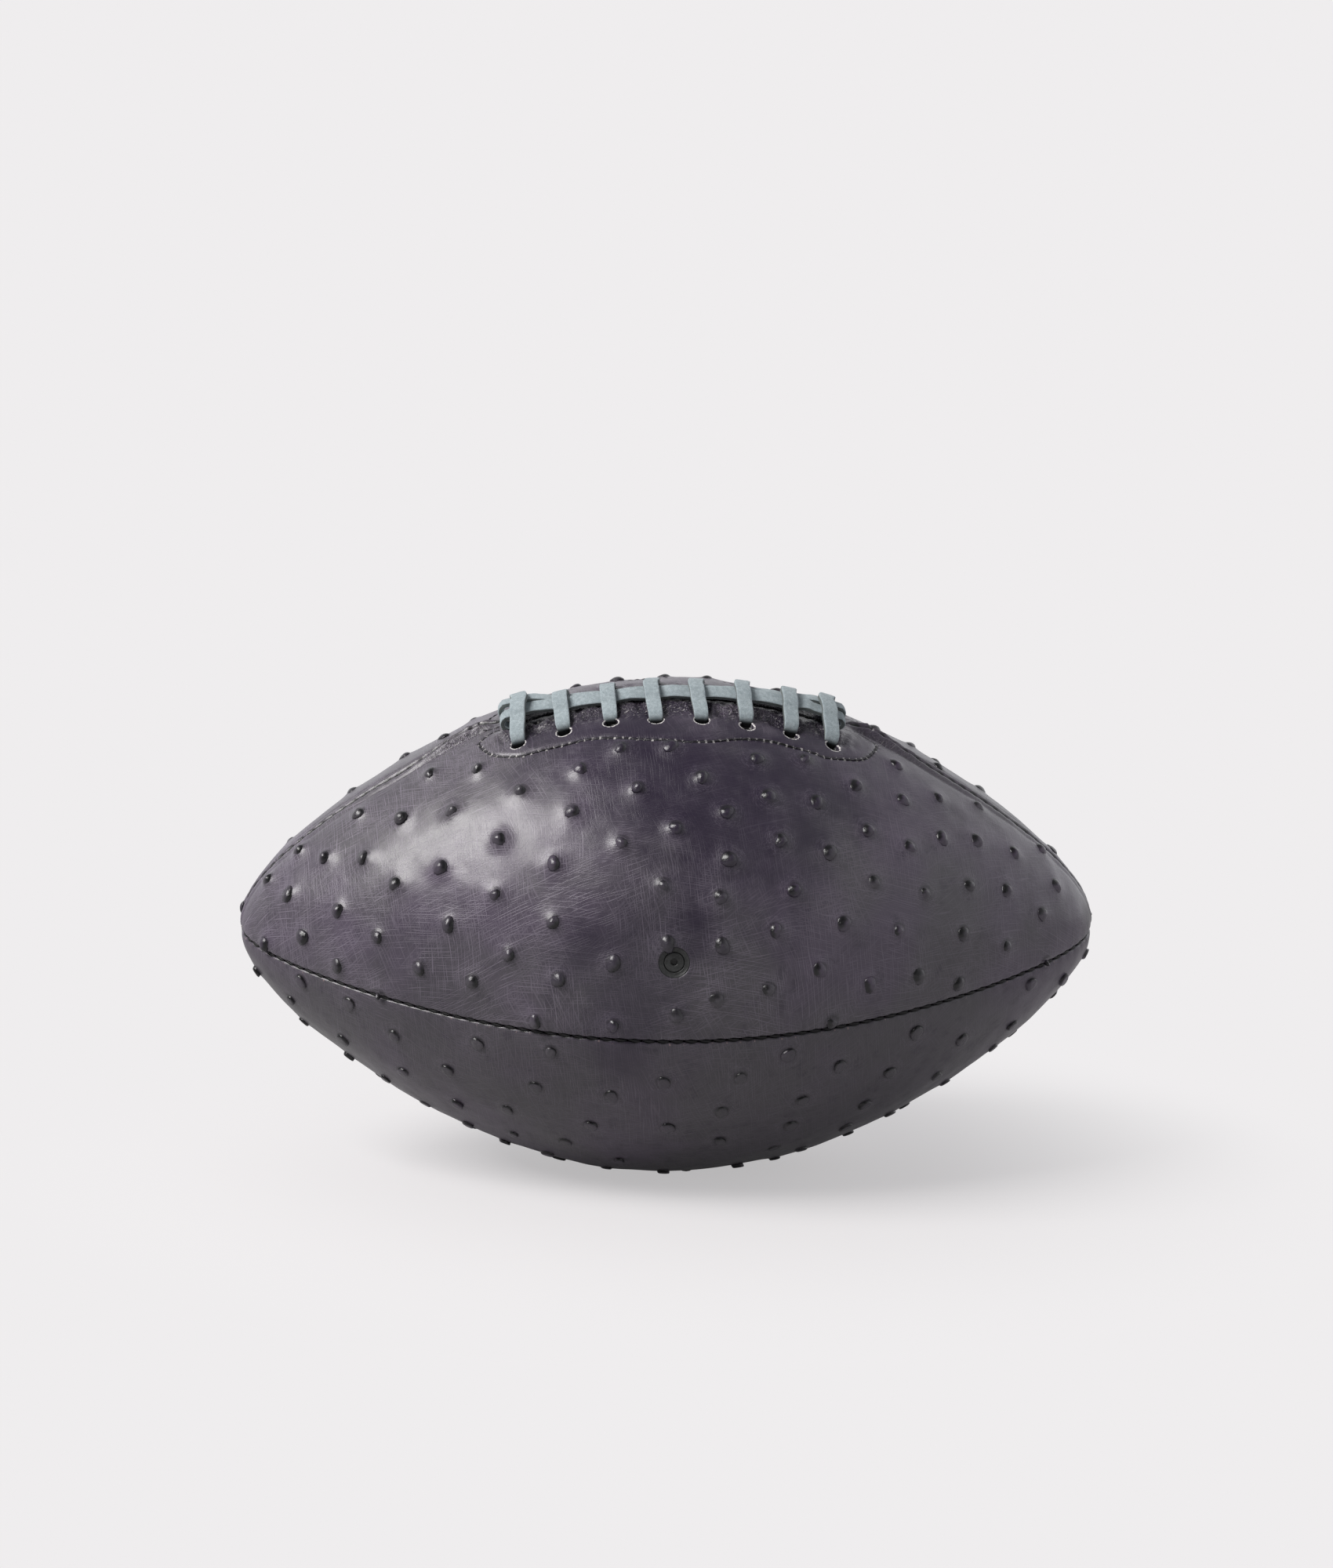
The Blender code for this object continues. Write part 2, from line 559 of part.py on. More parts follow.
def lace(parent):
    """One flat lace: tail, first strand, eight crossings tied by diagonal runs inside, second strand, tail.

    The points that shape each bend are given in shares of the lace's thickness.
    """
    centres, widths, flats = [], [], []
    along_w, along_s = (0.0, 1.0), (1.0, 0.0)

    def add(points, across, flat=False):
        directions = across if isinstance(across, list) else [across] * len(points)
        for point, direction in zip(points, directions):
            in_hole = direction == along_s and point[2] < -LACE_THICKNESS / 8
            half = (LACE_WIDTH_IN_HOLE if in_hole else LACE_WIDTH) / 2
            centres.append(point)
            widths.append((direction[0] * half, direction[1] * half, 0.0))
            flats.append(flat)

    level, thick = INNER_LACE_HEIGHT, LACE_THICKNESS
    tail_end = LACE_END + LACE_TAIL_LENGTH
    places = lace_places()

    rise = [(0.0, level + thick), (0.0, -thick / 2), (0.0, 0.1 * thick)]
    add([(tail_end, STRAND_W, level), (LACE_END + 1.2 * thick, STRAND_W, level)], along_w)
    add([(LACE_END + 0.25 * thick, STRAND_W, level + 0.25 * thick)], along_w)
    add([(LACE_END + ds, STRAND_W, height) for ds, height in rise], along_w)
    add([(LACE_END - 0.3 * thick, STRAND_W, LACE_REST - 0.15 * thick)], along_w)
    add(strand(STRAND_W), along_w)
    dive = [(-0.75 * thick, LACE_REST + 0.3 * thick), (0.0, 0.2 * thick), (0.0, -thick), (0.0, level + thick)]
    add([(-LACE_END - ds, STRAND_W, height) for ds, height in dive], along_w)
    add([(-LACE_END + 0.25 * thick, STRAND_W, level + 0.25 * thick)], along_w)
    turned = in_plane_turn(-LACE_END + 1.2 * thick, STRAND_W, places[0], STRAND_W + 3 * thick, True)
    add(*turned, flat=True)
    for index, s in enumerate(places):
        climb = [(LACE_IN_HOLE - thick, level), (LACE_IN_HOLE - 0.25 * thick, level + 0.25 * thick)]
        add([(s, w, height) for w, height in climb], along_s)
        add(over_strands(s), along_s)
        add([(s, -w, height) for w, height in reversed(climb)], along_s)
        if index + 1 < len(places):
            after = places[index + 1]
            add([((s + after) / 2, 0.0, level)], along_s)
    turned = in_plane_turn(places[-1], -STRAND_W - 3 * thick, LACE_END - 1.2 * thick, -STRAND_W, False)
    add(*turned, flat=True)
    add([(LACE_END - 0.25 * thick, -STRAND_W, level + 0.25 * thick)], along_w)
    add([(LACE_END + ds, -STRAND_W, height) for ds, height in rise], along_w)
    add([(LACE_END - 0.3 * thick, -STRAND_W, LACE_REST - 0.15 * thick)], along_w)
    add(strand(-STRAND_W), along_w)
    add([(-LACE_END - ds, -STRAND_W, height) for ds, height in dive], along_w)
    add([(-LACE_END - 0.25 * thick, -STRAND_W, level + 0.25 * thick)], along_w)
    add([(-LACE_END - 1.2 * thick, -STRAND_W, level), (-tail_end, -STRAND_W, level)], along_w)
    tube("lace", lace_rings(centres, widths, np.array(flats)), LACE_SUEDE, 0.95, parent)


def thread(name, centres, outward, parent):
    """A three-sided thread through the centres, one side facing away from the ball."""
    tangents = np.gradient(centres, axis=0)
    tangents /= np.linalg.norm(tangents, axis=1, keepdims=True)
    across = np.cross(tangents, outward)
    across /= np.linalg.norm(across, axis=1, keepdims=True)
    up = np.cross(across, tangents)
    corners = [math.radians(angle) for angle in (90.0, 210.0, 330.0)]
    rings = [centres + THREAD_RADIUS * (math.cos(a) * across + math.sin(a) * up) for a in corners]
    tube(name, np.stack(rings, 1), THREAD_GREY, 0.7, parent)


def evenly_spaced(points, spacing):
    """Shares of the way along a polyline at about this spacing, with the length divided evenly."""
    steps = np.linalg.norm(np.diff(points, axis=0), axis=1)
    length = np.concatenate([[0.0], np.cumsum(steps)])
    count = max(2, int(round(length[-1] / spacing)))
    return np.interp(np.linspace(0, length[-1], count + 1), length, np.arange(len(points)))


def seam_thread(name, seam, phi_from, phi_to, parent):
    """The stitching in the groove of a seam, rising and dipping once for each stitch."""
    fine = np.linspace(phi_from, phi_to, FINE_STEPS)
    index = evenly_spaced(ball_point(fine, seam, 0.0), SEAM_STITCH / 2)
    phi = np.interp(index, np.arange(len(fine)), fine)
    height = -SEAM_THREAD_DEPTH + np.where(np.arange(len(phi)) % 2, STITCH_RISE, 0.0)
    centres = ball_point(phi, seam, height)
    thread(name, centres, ball_point(phi, seam, 1.0) - ball_point(phi, seam, 0.0), parent)


def facing_stitching(name, side, parent):
    """The line that sews the facing down, a long loop round the lace holes, fuller at its middle."""
    turn = np.linspace(FACING_STITCH_START, math.pi - FACING_STITCH_START, FINE_STEPS)
    squared_cosine = -np.sign(np.cos(turn)) * np.abs(np.cos(turn)) ** 0.4
    s = squared_cosine * (FACING_HALF_LENGTH - FACING_STITCH_END)
    w = (FACING_WIDTH - FACING_STITCH_INSET) * np.sin(turn) ** 0.8
    w += FACING_STITCH_BULGE * np.exp(-((s / FACING_STITCH_BULGE_LENGTH) ** 2))
    line = np.stack([s, side * w, np.zeros_like(s)], -1)
    index = evenly_spaced(lacing_point(line), FACING_STITCH / 2)
    place = np.stack([np.interp(index, np.arange(len(line)), line[:, k]) for k in range(3)], -1)
    place[:, 2] = CLEARANCE + THREAD_RADIUS + np.where(np.arange(len(place)) % 2, STITCH_RISE, 0.0)
    above = place + np.array([0.0, 0.0, 1.0])
    thread(name, lacing_point(place), lacing_point(above) - lacing_point(place), parent)


def main():
    clear_scene()
    centre = bpy.data.objects.new("ball_centre", None)
    bpy.context.scene.collection.objects.link(centre)
    centre.location = (0.0, 0.0, CENTRE_HEIGHT)
    centre.rotation_euler = (ROLL_TOWARDS_VIEWER, 0.0, 0.0)

    slit_stations = lacing_stations(SLIT_HALF_LENGTH)
    deep, proud = -2 * FLANGE_DEPTH, LACE_THICKNESS
    slit = lacing_block_cutter("lacing_slit", slit_stations, SLIT_HALF_WIDTH, deep, proud, centre)
    flange_relief = lacing_block_cutter(
        "flange_relief", slit_stations, LINING_EDGE, deep, -LEATHER_THICKNESS - CLEARANCE / 2, centre
    )
    notches = [
        lacing_block_cutter(
            "lace_end_notch_" + label,
            (middle - NOTCH_HALF_LENGTH, middle + NOTCH_HALF_LENGTH),
            NOTCH_HALF_WIDTH,
            deep,
            proud,
            centre,
        )
        for label, middle in (("left", -LACE_END), ("right", LACE_END))
    ]
    facing_pocket = lacing_block_cutter(
        "facing_pocket",
        lacing_stations(FACING_HALF_LENGTH + CLEARANCE),
        FACING_WIDTH + CLEARANCE,
        deep,
        proud,
        centre,
    )
    valve_hole = valve_bore_cutter(
        "valve_hole", VALVE_RIM_RADIUS + CLEARANCE, -BLADDER_UNDER_VALVE, LACE_THICKNESS, centre
    )

    quarters = ("front_upper", "front_lower", "back_lower", "back_upper")
    seams = {name: LACED_SEAM + k * QUARTER for k, name in enumerate(quarters)}
    panels = {name: leather_panel(name + "_panel", seam, centre) for name, seam in seams.items()}
    linings = {name: lining(name + "_lining", seam, centre) for name, seam in seams.items()}
    cut_rest_flat(panels["front_lower"])
    cut(panels["front_upper"], valve_hole)
    cut(linings["front_upper"], valve_hole)

    across = np.linspace(LINING_EDGE, FACING_WIDTH, 4)
    for name, side in (("front", 1), ("back", -1)):
        holes = lace_hole_cutter("lace_holes_" + name, side, centre)
        cut(panels[name + "_upper"], slit, flange_relief, *notches, holes)
        cut(linings[name + "_upper"], facing_pocket)
        facing = lacing_sheet(
            name + "_lace_facing",
            FACING_HALF_LENGTH,
            side * across,
            FACING_TOP,
            FACING_BOTTOM,
            FACING_VINYL,
            centre,
        )
        cut(facing, *notches, holes)
        facing_stitching(name + "_facing_stitching", side, centre)

    lacing_sheet(
        "lace_tongue",
        TONGUE_HALF_LENGTH,
        np.linspace(-TONGUE_HALF_WIDTH, TONGUE_HALF_WIDTH, 5),
        TONGUE_TOP,
        TONGUE_BOTTOM,
        FACING_VINYL,
        centre,
    )
    lace(centre)
    valve_housing(centre)
    valve_plug(centre)
    bladder(centre)

    tip = SEAM_STITCH_END
    beside_lacing = math.asin((SLIT_HALF_LENGTH + LACE_THICKNESS) / HALF_LENGTH)
    seam_thread("laced_seam_thread_left", LACED_SEAM, -tip, -beside_lacing, centre)
    seam_thread("laced_seam_thread_right", LACED_SEAM, beside_lacing, tip, centre)
    seam_thread("front_seam_thread", LACED_SEAM + QUARTER, -tip, tip, centre)
    seam_thread("bottom_seam_thread", LACED_SEAM + 2 * QUARTER, -tip, tip, centre)
    seam_thread("back_seam_thread", LACED_SEAM + 3 * QUARTER, -tip, tip, centre)


main()
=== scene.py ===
"""Looks of the laced leather ball: quilled panels, suede lace, stitching, valve and a plain studio.

The ball's outer surface is one formula (BallForm). Every new piece is worked out on it with numpy, as a grid
of two parameters or a profile carried along a path, so that each sits where its solid does.
"""

from __future__ import annotations

import json
import logging
import math
from collections.abc import Iterable, Sequence
from dataclasses import dataclass, field
from enum import Enum
from functools import cache

import bpy
import numpy as np
from mathutils import Matrix, Vector

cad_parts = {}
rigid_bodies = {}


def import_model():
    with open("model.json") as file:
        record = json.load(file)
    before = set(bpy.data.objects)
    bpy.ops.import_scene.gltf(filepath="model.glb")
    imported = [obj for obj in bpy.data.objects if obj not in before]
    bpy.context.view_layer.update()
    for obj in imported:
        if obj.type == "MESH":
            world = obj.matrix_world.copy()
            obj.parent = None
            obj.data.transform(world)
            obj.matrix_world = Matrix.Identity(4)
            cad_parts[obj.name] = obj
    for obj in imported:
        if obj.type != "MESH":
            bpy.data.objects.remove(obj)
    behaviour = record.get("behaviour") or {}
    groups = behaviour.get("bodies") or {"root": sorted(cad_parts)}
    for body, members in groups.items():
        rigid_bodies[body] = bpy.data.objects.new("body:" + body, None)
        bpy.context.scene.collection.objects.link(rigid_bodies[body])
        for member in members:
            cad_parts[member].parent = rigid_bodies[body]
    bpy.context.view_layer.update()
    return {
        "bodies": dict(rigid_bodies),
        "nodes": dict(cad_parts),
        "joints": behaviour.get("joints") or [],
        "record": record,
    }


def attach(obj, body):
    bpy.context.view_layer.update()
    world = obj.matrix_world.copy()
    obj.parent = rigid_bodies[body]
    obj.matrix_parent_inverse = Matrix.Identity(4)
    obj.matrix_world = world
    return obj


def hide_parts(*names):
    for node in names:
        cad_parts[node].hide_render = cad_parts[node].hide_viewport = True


Array = np.ndarray
Piece = bpy.types.Object
Material = bpy.types.Material
Socket = bpy.types.NodeSocket
Colour = tuple[float, float, float, float]
LOG = logging.getLogger("ball")
MM = 0.001
QUARTER = math.pi / 2

# Places of the quills that the photograph shows, as pixels of its 1700 by 2000 frame.
FRONT_UPPER_QUILLS_PX = (
    (549, 988), (610, 982), (664, 1010), (740, 982), (792, 956), (855, 953), (458, 1039), (512, 1044),
    (577, 1036), (637, 1071), (730, 1036), (813, 1006), (383, 1086), (415, 1094), (464, 1095), (563, 1107),
    (707, 1102), (793, 1076), (344, 1123), (369, 1142), (505, 1128), (632, 1142), (846, 1130), (432, 1162),
    (573, 1180), (706, 1177), (387, 1195), (483, 1195), (339, 1204), (432, 1232), (536, 1235), (603, 1252),
    (650, 1218), (713, 1250), (783, 1229), (484, 1270), (683, 1303), (783, 1308), (862, 1057), (895, 993),
    (965, 969), (1026, 970), (980, 1017), (1041, 1024), (1091, 1003), (1143, 977), (1151, 1021),
    (1196, 1018), (1247, 1029), (1196, 978), (927, 1037), (995, 1073), (930, 1097), (1058, 1088),
    (1107, 1060), (1159, 1081), (1201, 1069), (1245, 1073), (1293, 1088), (1327, 1084), (1013, 1136),
    (919, 1145), (1114, 1126), (1179, 1140), (1236, 1130), (1283, 1136), (1346, 1130), (1076, 1178),
    (1145, 1187), (1228, 1191), (1329, 1166), (989, 1187), (921, 1207), (980, 1262), (914, 1275),
    (863, 1295), (1045, 1237), (1109, 1256), (1171, 1245), (1283, 1207), (1222, 1255), (1060, 1304),
    (1334, 1228), (852, 1204),
)
FRONT_LOWER_QUILLS_PX = (
    (384, 1252), (445, 1280), (371, 1275), (328, 1243), (389, 1303), (437, 1326), (503, 1321), (446, 1348),
    (515, 1367), (571, 1365), (609, 1331), (492, 1375), (703, 1342), (683, 1386), (543, 1406), (583, 1408),
    (647, 1415), (779, 1398), (846, 1381), (597, 1433), (655, 1446), (721, 1455), (754, 1435), (851, 1438),
    (699, 1470), (790, 1479), (1005, 1346), (944, 1374), (1071, 1360), (1134, 1368), (1168, 1317),
    (1226, 1326), (1314, 1255), (1356, 1254), (1290, 1308), (1265, 1336), (1023, 1403), (920, 1417),
    (1102, 1409), (1194, 1372), (1007, 1435), (918, 1455), (1078, 1437), (1134, 1419), (987, 1463),
)

# The stitched outline of the front facing, followed round the lace holes from the left end.
FACING_LINE_PX = (
    (648, 929), (630, 934), (614, 945), (611, 950), (620, 959), (634, 965), (662, 965), (677, 961),
    (696, 956), (725, 949), (755, 943), (804, 943), (859, 946), (901, 946), (949, 942), (985, 945),
    (1008, 952), (1039, 961), (1056, 967), (1092, 969), (1106, 966), (1115, 958), (1118, 951), (1110, 944),
)
# Darker places on the front, partly deeper dye and partly painted shade: pixel of the photograph across
# and down, reach in millimetres, and depth.
DYE_SHADE_PLACES = (
    (850, 955, 43, 0.75), (945, 1050, 34, 0.65), (955, 985, 36, 0.70), (745, 925, 24, 0.55),
    (1030, 965, 30, 0.55), (1150, 985, 34, 0.25), (820, 1140, 30, 0.28), (800, 1265, 30, 0.62),
    (540, 1235, 26, 0.25),
)


def smoothstep(value: Array, low: float, high: float) -> Array:
    """Rises from 0 at low to 1 at high as 3t^2 - 2t^3, where t is the share of the way.

    Args:
        value: Numbers of any shape.
        low: Value at which the step starts.
        high: Value at which it is complete.

    Returns:
        The step for each value.
    """
    t = np.clip((value - low) / (high - low), 0.0, 1.0)
    return t * t * (3.0 - 2.0 * t)


def smooth_rows(rows: Array, steps: int) -> Array:
    """Runs a Catmull-Rom curve through rows: each span is a cubic whose end slopes are half the chord.

    Args:
        rows: Control rows, one for each point that the curve passes through.
        steps: Pieces that each span is divided into.

    Returns:
        The rows of the curve, with all control rows among them.
    """
    before = np.vstack([2 * rows[:1] - rows[1:2], rows[:-1]])[:-1]
    after = np.vstack([rows[1:], 2 * rows[-1:] - rows[-2:-1]])[1:]
    start, end = rows[:-1], rows[1:]
    t = (np.arange(steps) / steps)[None, :, None]
    slope_in = ((end - before) / 2)[:, None]
    slope_out = ((after - start) / 2)[:, None]
    start, end = start[:, None], end[:, None]
    curve = (
        (2 * t**3 - 3 * t**2 + 1) * start
        + (t**3 - 2 * t**2 + t) * slope_in
        + (3 * t**2 - 2 * t**3) * end
        + (t**3 - t**2) * slope_out
    )
    return np.vstack([curve.reshape(-1, rows.shape[1]), rows[-1:]])


def unit(vectors: Array) -> Array:
    """Vectors brought to length 1."""
    return vectors / np.linalg.norm(vectors, axis=-1, keepdims=True)


def stacked(*parts: object) -> Array:
    """Numbers and arrays, spread to one shape, as the last axis of an array."""
    return np.stack(np.broadcast_arrays(*parts), -1)


def full_turn(count: int, start: float = 0.0) -> Array:
    """Angles at equal steps round a full turn, the first at a share of a step."""
    return 2 * math.pi * (np.arange(count) + start) / count


def lengths_along(points: Array) -> Array:
    """Length of a polyline from its start to each of its points."""
    return np.concatenate([[0.0], np.cumsum(np.linalg.norm(np.diff(points, axis=0), axis=1))])


def bell(value: Array, middle: float, width: float) -> Array:
    """A bell of height 1, exp(-((value - middle) / width)^2)."""
    return np.exp(-(((value - middle) / width) ** 2))


def even_rows(rows: Array, spacing: float) -> tuple[Array, Array]:
    """Divides a polyline into equal lengths of about this spacing.

    Args:
        rows: Points of the polyline.
        spacing: Wanted distance between neighbours.

    Returns:
        The new points, and the length from the start at each.
    """
    length = lengths_along(rows)
    places = np.linspace(0.0, length[-1], max(2, round(length[-1] / spacing)) + 1)
    return np.stack([np.interp(places, length, column) for column in rows.T], 1), places


@dataclass(frozen=True)
class Waves:
    """Smooth unevenness: the mean of plane sine waves of random direction and phase through space.

    Attributes:
        length: Mean wave length in metres.
        count: Number of waves.
        seed: Seed of the random draws.
    """

    length: float
    count: int
    seed: int

    def at(self, points: Array) -> Array:
        """The unevenness, as the sum of sin(k.p + phase) over the root of the count.

        Args:
            points: Places in metres.

        Returns:
            A value of about -1 to 1 for each.
        """
        draw = np.random.default_rng(self.seed)
        direction = unit(draw.normal(size=(self.count, 3)))
        pitch = 2 * math.pi / (self.length * draw.uniform(0.7, 1.5, self.count))
        phase = draw.uniform(0, 2 * math.pi, self.count)
        total = np.zeros(points.shape[:-1])
        for k, start in zip(direction * pitch[:, None], phase):
            total += np.sin(points @ k + start)
        return total / math.sqrt(self.count)


@dataclass(frozen=True)
class BallForm:
    """The inflated ball's outer leather surface and its place on the floor, in metres and radians.

    The outline is x = length / 2 * sin(phi) and r = radius * cos(phi)^power * (1 - taper * sin(phi)^2). The
    angle theta runs round X from +Y towards +Z before the ball is rolled towards -Y about its long axis.
    """

    length: float = 285 * MM
    radius: float = 82.5 * MM
    power: float = 0.94
    taper: float = 0.40
    roll: float = math.radians(17.0)
    rest_flat: float = 1.0 * MM
    laced_seam: float = QUARTER
    seam_bend: float = 7.0 * MM

    @property
    def centre_height(self) -> float:
        """Height of the long axis above the floor."""
        return self.radius - self.rest_flat

    def along(self, phi: Array) -> Array:
        """Place along X at phi."""
        return self.length / 2 * np.sin(phi)

    def phi_at(self, s: Array) -> Array:
        """The phi of a place along X."""
        return np.arcsin(s / (self.length / 2))

    def seam_arc(self, phi: Array, theta: Array) -> Array:
        """Arc from the laced seam, positive to the front and negative to the back."""
        return np.angle(np.exp(1j * (theta - self.laced_seam))) * self.outline(phi)[1]

    def outline(self, phi: Array) -> tuple[Array, Array, Array, Array]:
        """The outline at phi.

        Args:
            phi: Place from tip to tip.

        Returns:
            Axial place, radius, and the outward normal's axial and radial shares.
        """
        sine, cosine = np.sin(phi), np.cos(phi)
        taper = 1.0 - self.taper * sine**2
        radius = self.radius * cosine**self.power * taper
        slope_x = self.length / 2 * cosine
        slope_r = -self.radius * sine * (
            self.power * cosine ** (self.power - 1) * taper + 2 * self.taper * cosine ** (self.power + 1)
        )
        size = np.hypot(slope_x, slope_r)
        return self.length / 2 * sine, radius, -slope_r / size, slope_x / size

    def to_floor(self, points: Array) -> Array:
        """Rolls the ball's own frame and lifts it onto the floor.

        Args:
            points: Places in that frame.

        Returns:
            The same places in the scene.
        """
        x, y, z = np.moveaxis(points, -1, 0)
        cosine, sine = math.cos(self.roll), math.sin(self.roll)
        return stacked(x, y * cosine - z * sine, y * sine + z * cosine + self.centre_height)

    def place(self, phi: Array, theta: Array, height: object) -> Array:
        """Points over the surface.

        Args:
            phi: Place from tip to tip.
            theta: Place round the ball.
            height: Height along the outward normal.

        Returns:
            The points.
        """
        x, radius, normal_x, normal_r = self.outline(phi)
        reach = radius + height * normal_r
        return self.to_floor(stacked(x + height * normal_x, reach * np.cos(theta), reach * np.sin(theta)))

    def axes(self, phi: Array, theta: Array) -> tuple[Array, ...]:
        """Directions on the surface.

        Args:
            phi: Place from tip to tip.
            theta: Place round the ball.

        Returns:
            Unit vectors along the outline towards +X, round the ball towards more theta, and outwards.
        """
        _, _, normal_x, normal_r = self.outline(phi)
        cosine, sine = np.cos(theta), np.sin(theta)
        along = stacked(normal_r, -normal_x * cosine, -normal_x * sine)
        outward = stacked(normal_x, normal_r * cosine, normal_r * sine)
        ground = self.to_floor(np.zeros(3))
        return tuple(self.to_floor(axis) - ground for axis in (along, stacked(0.0, -sine, cosine), outward))

    def by_lacing(self, rows: Array) -> Array:
        """Points placed from the laced seam.

        Args:
            rows: Place along X, arc from the seam, positive to the front, and height.

        Returns:
            The points.
        """
        s, w, height = np.moveaxis(rows, -1, 0)
        phi = self.phi_at(s)
        return self.place(phi, self.laced_seam + w / self.outline(phi)[1], height)

    def even_phi(self, step: float, tip_radius: float) -> tuple[Array, Array]:
        """Values of phi at equal lengths along the outline, up to where the ball is tip_radius in radius.

        Args:
            step: Wanted distance between neighbours.
            tip_radius: Radius at which the outline ends at both tips.

        Returns:
            The values of phi, and the length along the outline from mid length at each.
        """
        fine = np.linspace(0.0, QUARTER - 1e-6, 6000)
        x, radius, _, _ = self.outline(fine)
        length = lengths_along(stacked(x, radius))
        last = np.interp(-tip_radius, -radius, length)
        places = np.linspace(-last, last, 2 * round(last / step) + 1)
        return np.sign(places) * np.interp(np.abs(places), length, fine), places

    def seam_places(self, points: Array) -> tuple[Array, Array]:
        """Place along X and arc from the laced seam, under points on the front of the surface."""
        phi, theta = self.phi_theta(points)
        return self.along(phi), self.seam_arc(phi, theta)

    def bend(self, phi: Array) -> Array:
        """How the laced seam strays toward the back beside the lace's ends.

        Args:
            phi: Place from tip to tip.

        Returns:
            The angle, 0 or less.
        """
        s = np.abs(self.along(phi))
        arc = self.seam_bend * smoothstep(s, 48 * MM, 59 * MM) * (1 - smoothstep(s, 60 * MM, 92 * MM))
        return -arc / np.maximum(self.outline(phi)[1], MM)

    def inside(self, points: Array) -> Array:
        """Tells which points are inside the ball.

        Args:
            points: Places in the scene.

        Returns:
            True or False for each.
        """
        y, z = points[..., 1], points[..., 2] - self.centre_height
        sine = np.clip(points[..., 0] / (self.length / 2), -1.0, 1.0)
        return np.hypot(y, z) < self.outline(np.arcsin(sine * 0.999999))[1]

    def phi_theta(self, points: Array) -> tuple[Array, Array]:
        """Finds points of the surface on it.

        Args:
            points: Places in the scene.

        Returns:
            The phi and the theta of each.
        """
        y, z = points[..., 1], points[..., 2] - self.centre_height
        cosine, sine = math.cos(self.roll), math.sin(self.roll)
        theta = np.arctan2(-y * sine + z * cosine, y * cosine + z * sine)
        phi = np.arcsin(np.clip(points[..., 0] / (self.length / 2), -0.999999, 0.999999))
        return phi, theta % (2 * math.pi)


@dataclass(frozen=True)
class PhotoView:
    """The photograph's camera, found by matching the ball's outline, and its pixels laid onto the ball."""

    ball: BallForm
    frame_px: tuple[int, int] = (1700, 2000)
    ball_centre_px: tuple[float, float] = (851.5, 1178.0)
    focal_px: float = 4560.0
    distance: float = 1.2
    elevation: float = math.radians(10.0)
    azimuth: float = math.radians(-2.3)
    clockwise: float = math.radians(0.3)
    sensor: float = 36.0

    def stand(self) -> tuple[Array, Array]:
        """Works out where the camera stands.

        Returns:
            Its place, and a matrix whose rows are its right, up and forward directions.
        """
        e, a = self.elevation, self.azimuth
        back = np.array([math.cos(e) * math.sin(a), -math.cos(e) * math.cos(a), math.sin(e)])
        place = np.array([0.0, 0.0, self.ball.centre_height]) + back * self.distance
        forward = -back
        right = unit(np.cross(forward, (0.0, 0.0, 1.0)))
        up = np.cross(right, forward)
        cosine, sine = math.cos(self.clockwise), math.sin(self.clockwise)
        right, up = right * cosine + up * sine, up * cosine - right * sine
        aside, below = self.slopes(np.array([self.ball_centre_px]))[0]
        aim = unit(forward - right * aside + up * below)
        right = unit(right - aim * (right @ aim))
        return place, np.stack([right, np.cross(right, aim), aim])

    def slopes(self, pixels: Array) -> Array:
        """How far pixels lie to the right of and below the frame's middle, at one unit in front."""
        return (pixels - np.array(self.frame_px) / 2) / self.focal_px

    def make_camera(self) -> Piece:
        """Adds the camera and makes it the scene's.

        Returns:
            The camera.
        """
        data = bpy.data.cameras.new("photo_camera")
        data.sensor_fit = "AUTO"
        data.sensor_width = self.sensor
        data.lens = self.sensor * self.focal_px / max(self.frame_px)
        camera = bpy.data.objects.new("photo_camera", data)
        place, (right, up, forward) = self.stand()
        turned = Matrix(np.stack([right, up, -forward], 1).tolist()).to_4x4()
        camera.matrix_world = Matrix.Translation(Vector(place.tolist())) @ turned
        bpy.context.scene.collection.objects.link(camera)
        bpy.context.scene.camera = camera
        return camera

    def onto_ball(self, pixels: Sequence[tuple[float, float]]) -> Array:
        """Where the rays through pixels meet the ball.

        Each ray is walked in small steps to the first point inside, or to the point where it passes the axis
        most closely if it misses.

        Args:
            pixels: Places in the photograph's own frame.

        Returns:
            One point for each pixel.
        """
        place, (right, up, forward) = self.stand()
        slope = self.slopes(np.array(pixels, float))
        ray = unit(forward + right * slope[:, :1] - up * slope[:, 1:])
        reach = self.ball.radius * 1.2
        along = np.linspace(self.distance - reach, self.distance, 3000)
        walk = place + ray[:, None, :] * along[None, :, None]
        inside = self.ball.inside(walk)
        first = np.where(inside.any(1), inside.argmax(1), len(along) - 1)
        return walk[np.arange(len(ray)), first]


class Corner(Enum):
    """The four panels, by the number of quarter turns from the laced seam."""

    FRONT_UPPER = 0
    FRONT_LOWER = 1
    BACK_LOWER = 2
    BACK_UPPER = 3

    @property
    def label(self) -> str:
        """Name as used for pieces and nodes."""
        return self.name.lower()

    @property
    def is_laced(self) -> bool:
        """True for the two panels that meet at the lacing."""
        return self in (Corner.FRONT_UPPER, Corner.BACK_UPPER)

    @property
    def is_flat(self) -> bool:
        """True for the two lower panels, whose quills are pressed flatter."""
        return self in (Corner.FRONT_LOWER, Corner.BACK_LOWER)

    @property
    def side(self) -> int:
        """The sign of w on this panel, seen from the laced seam."""
        return 1 if self in (Corner.FRONT_UPPER, Corner.FRONT_LOWER) else -1


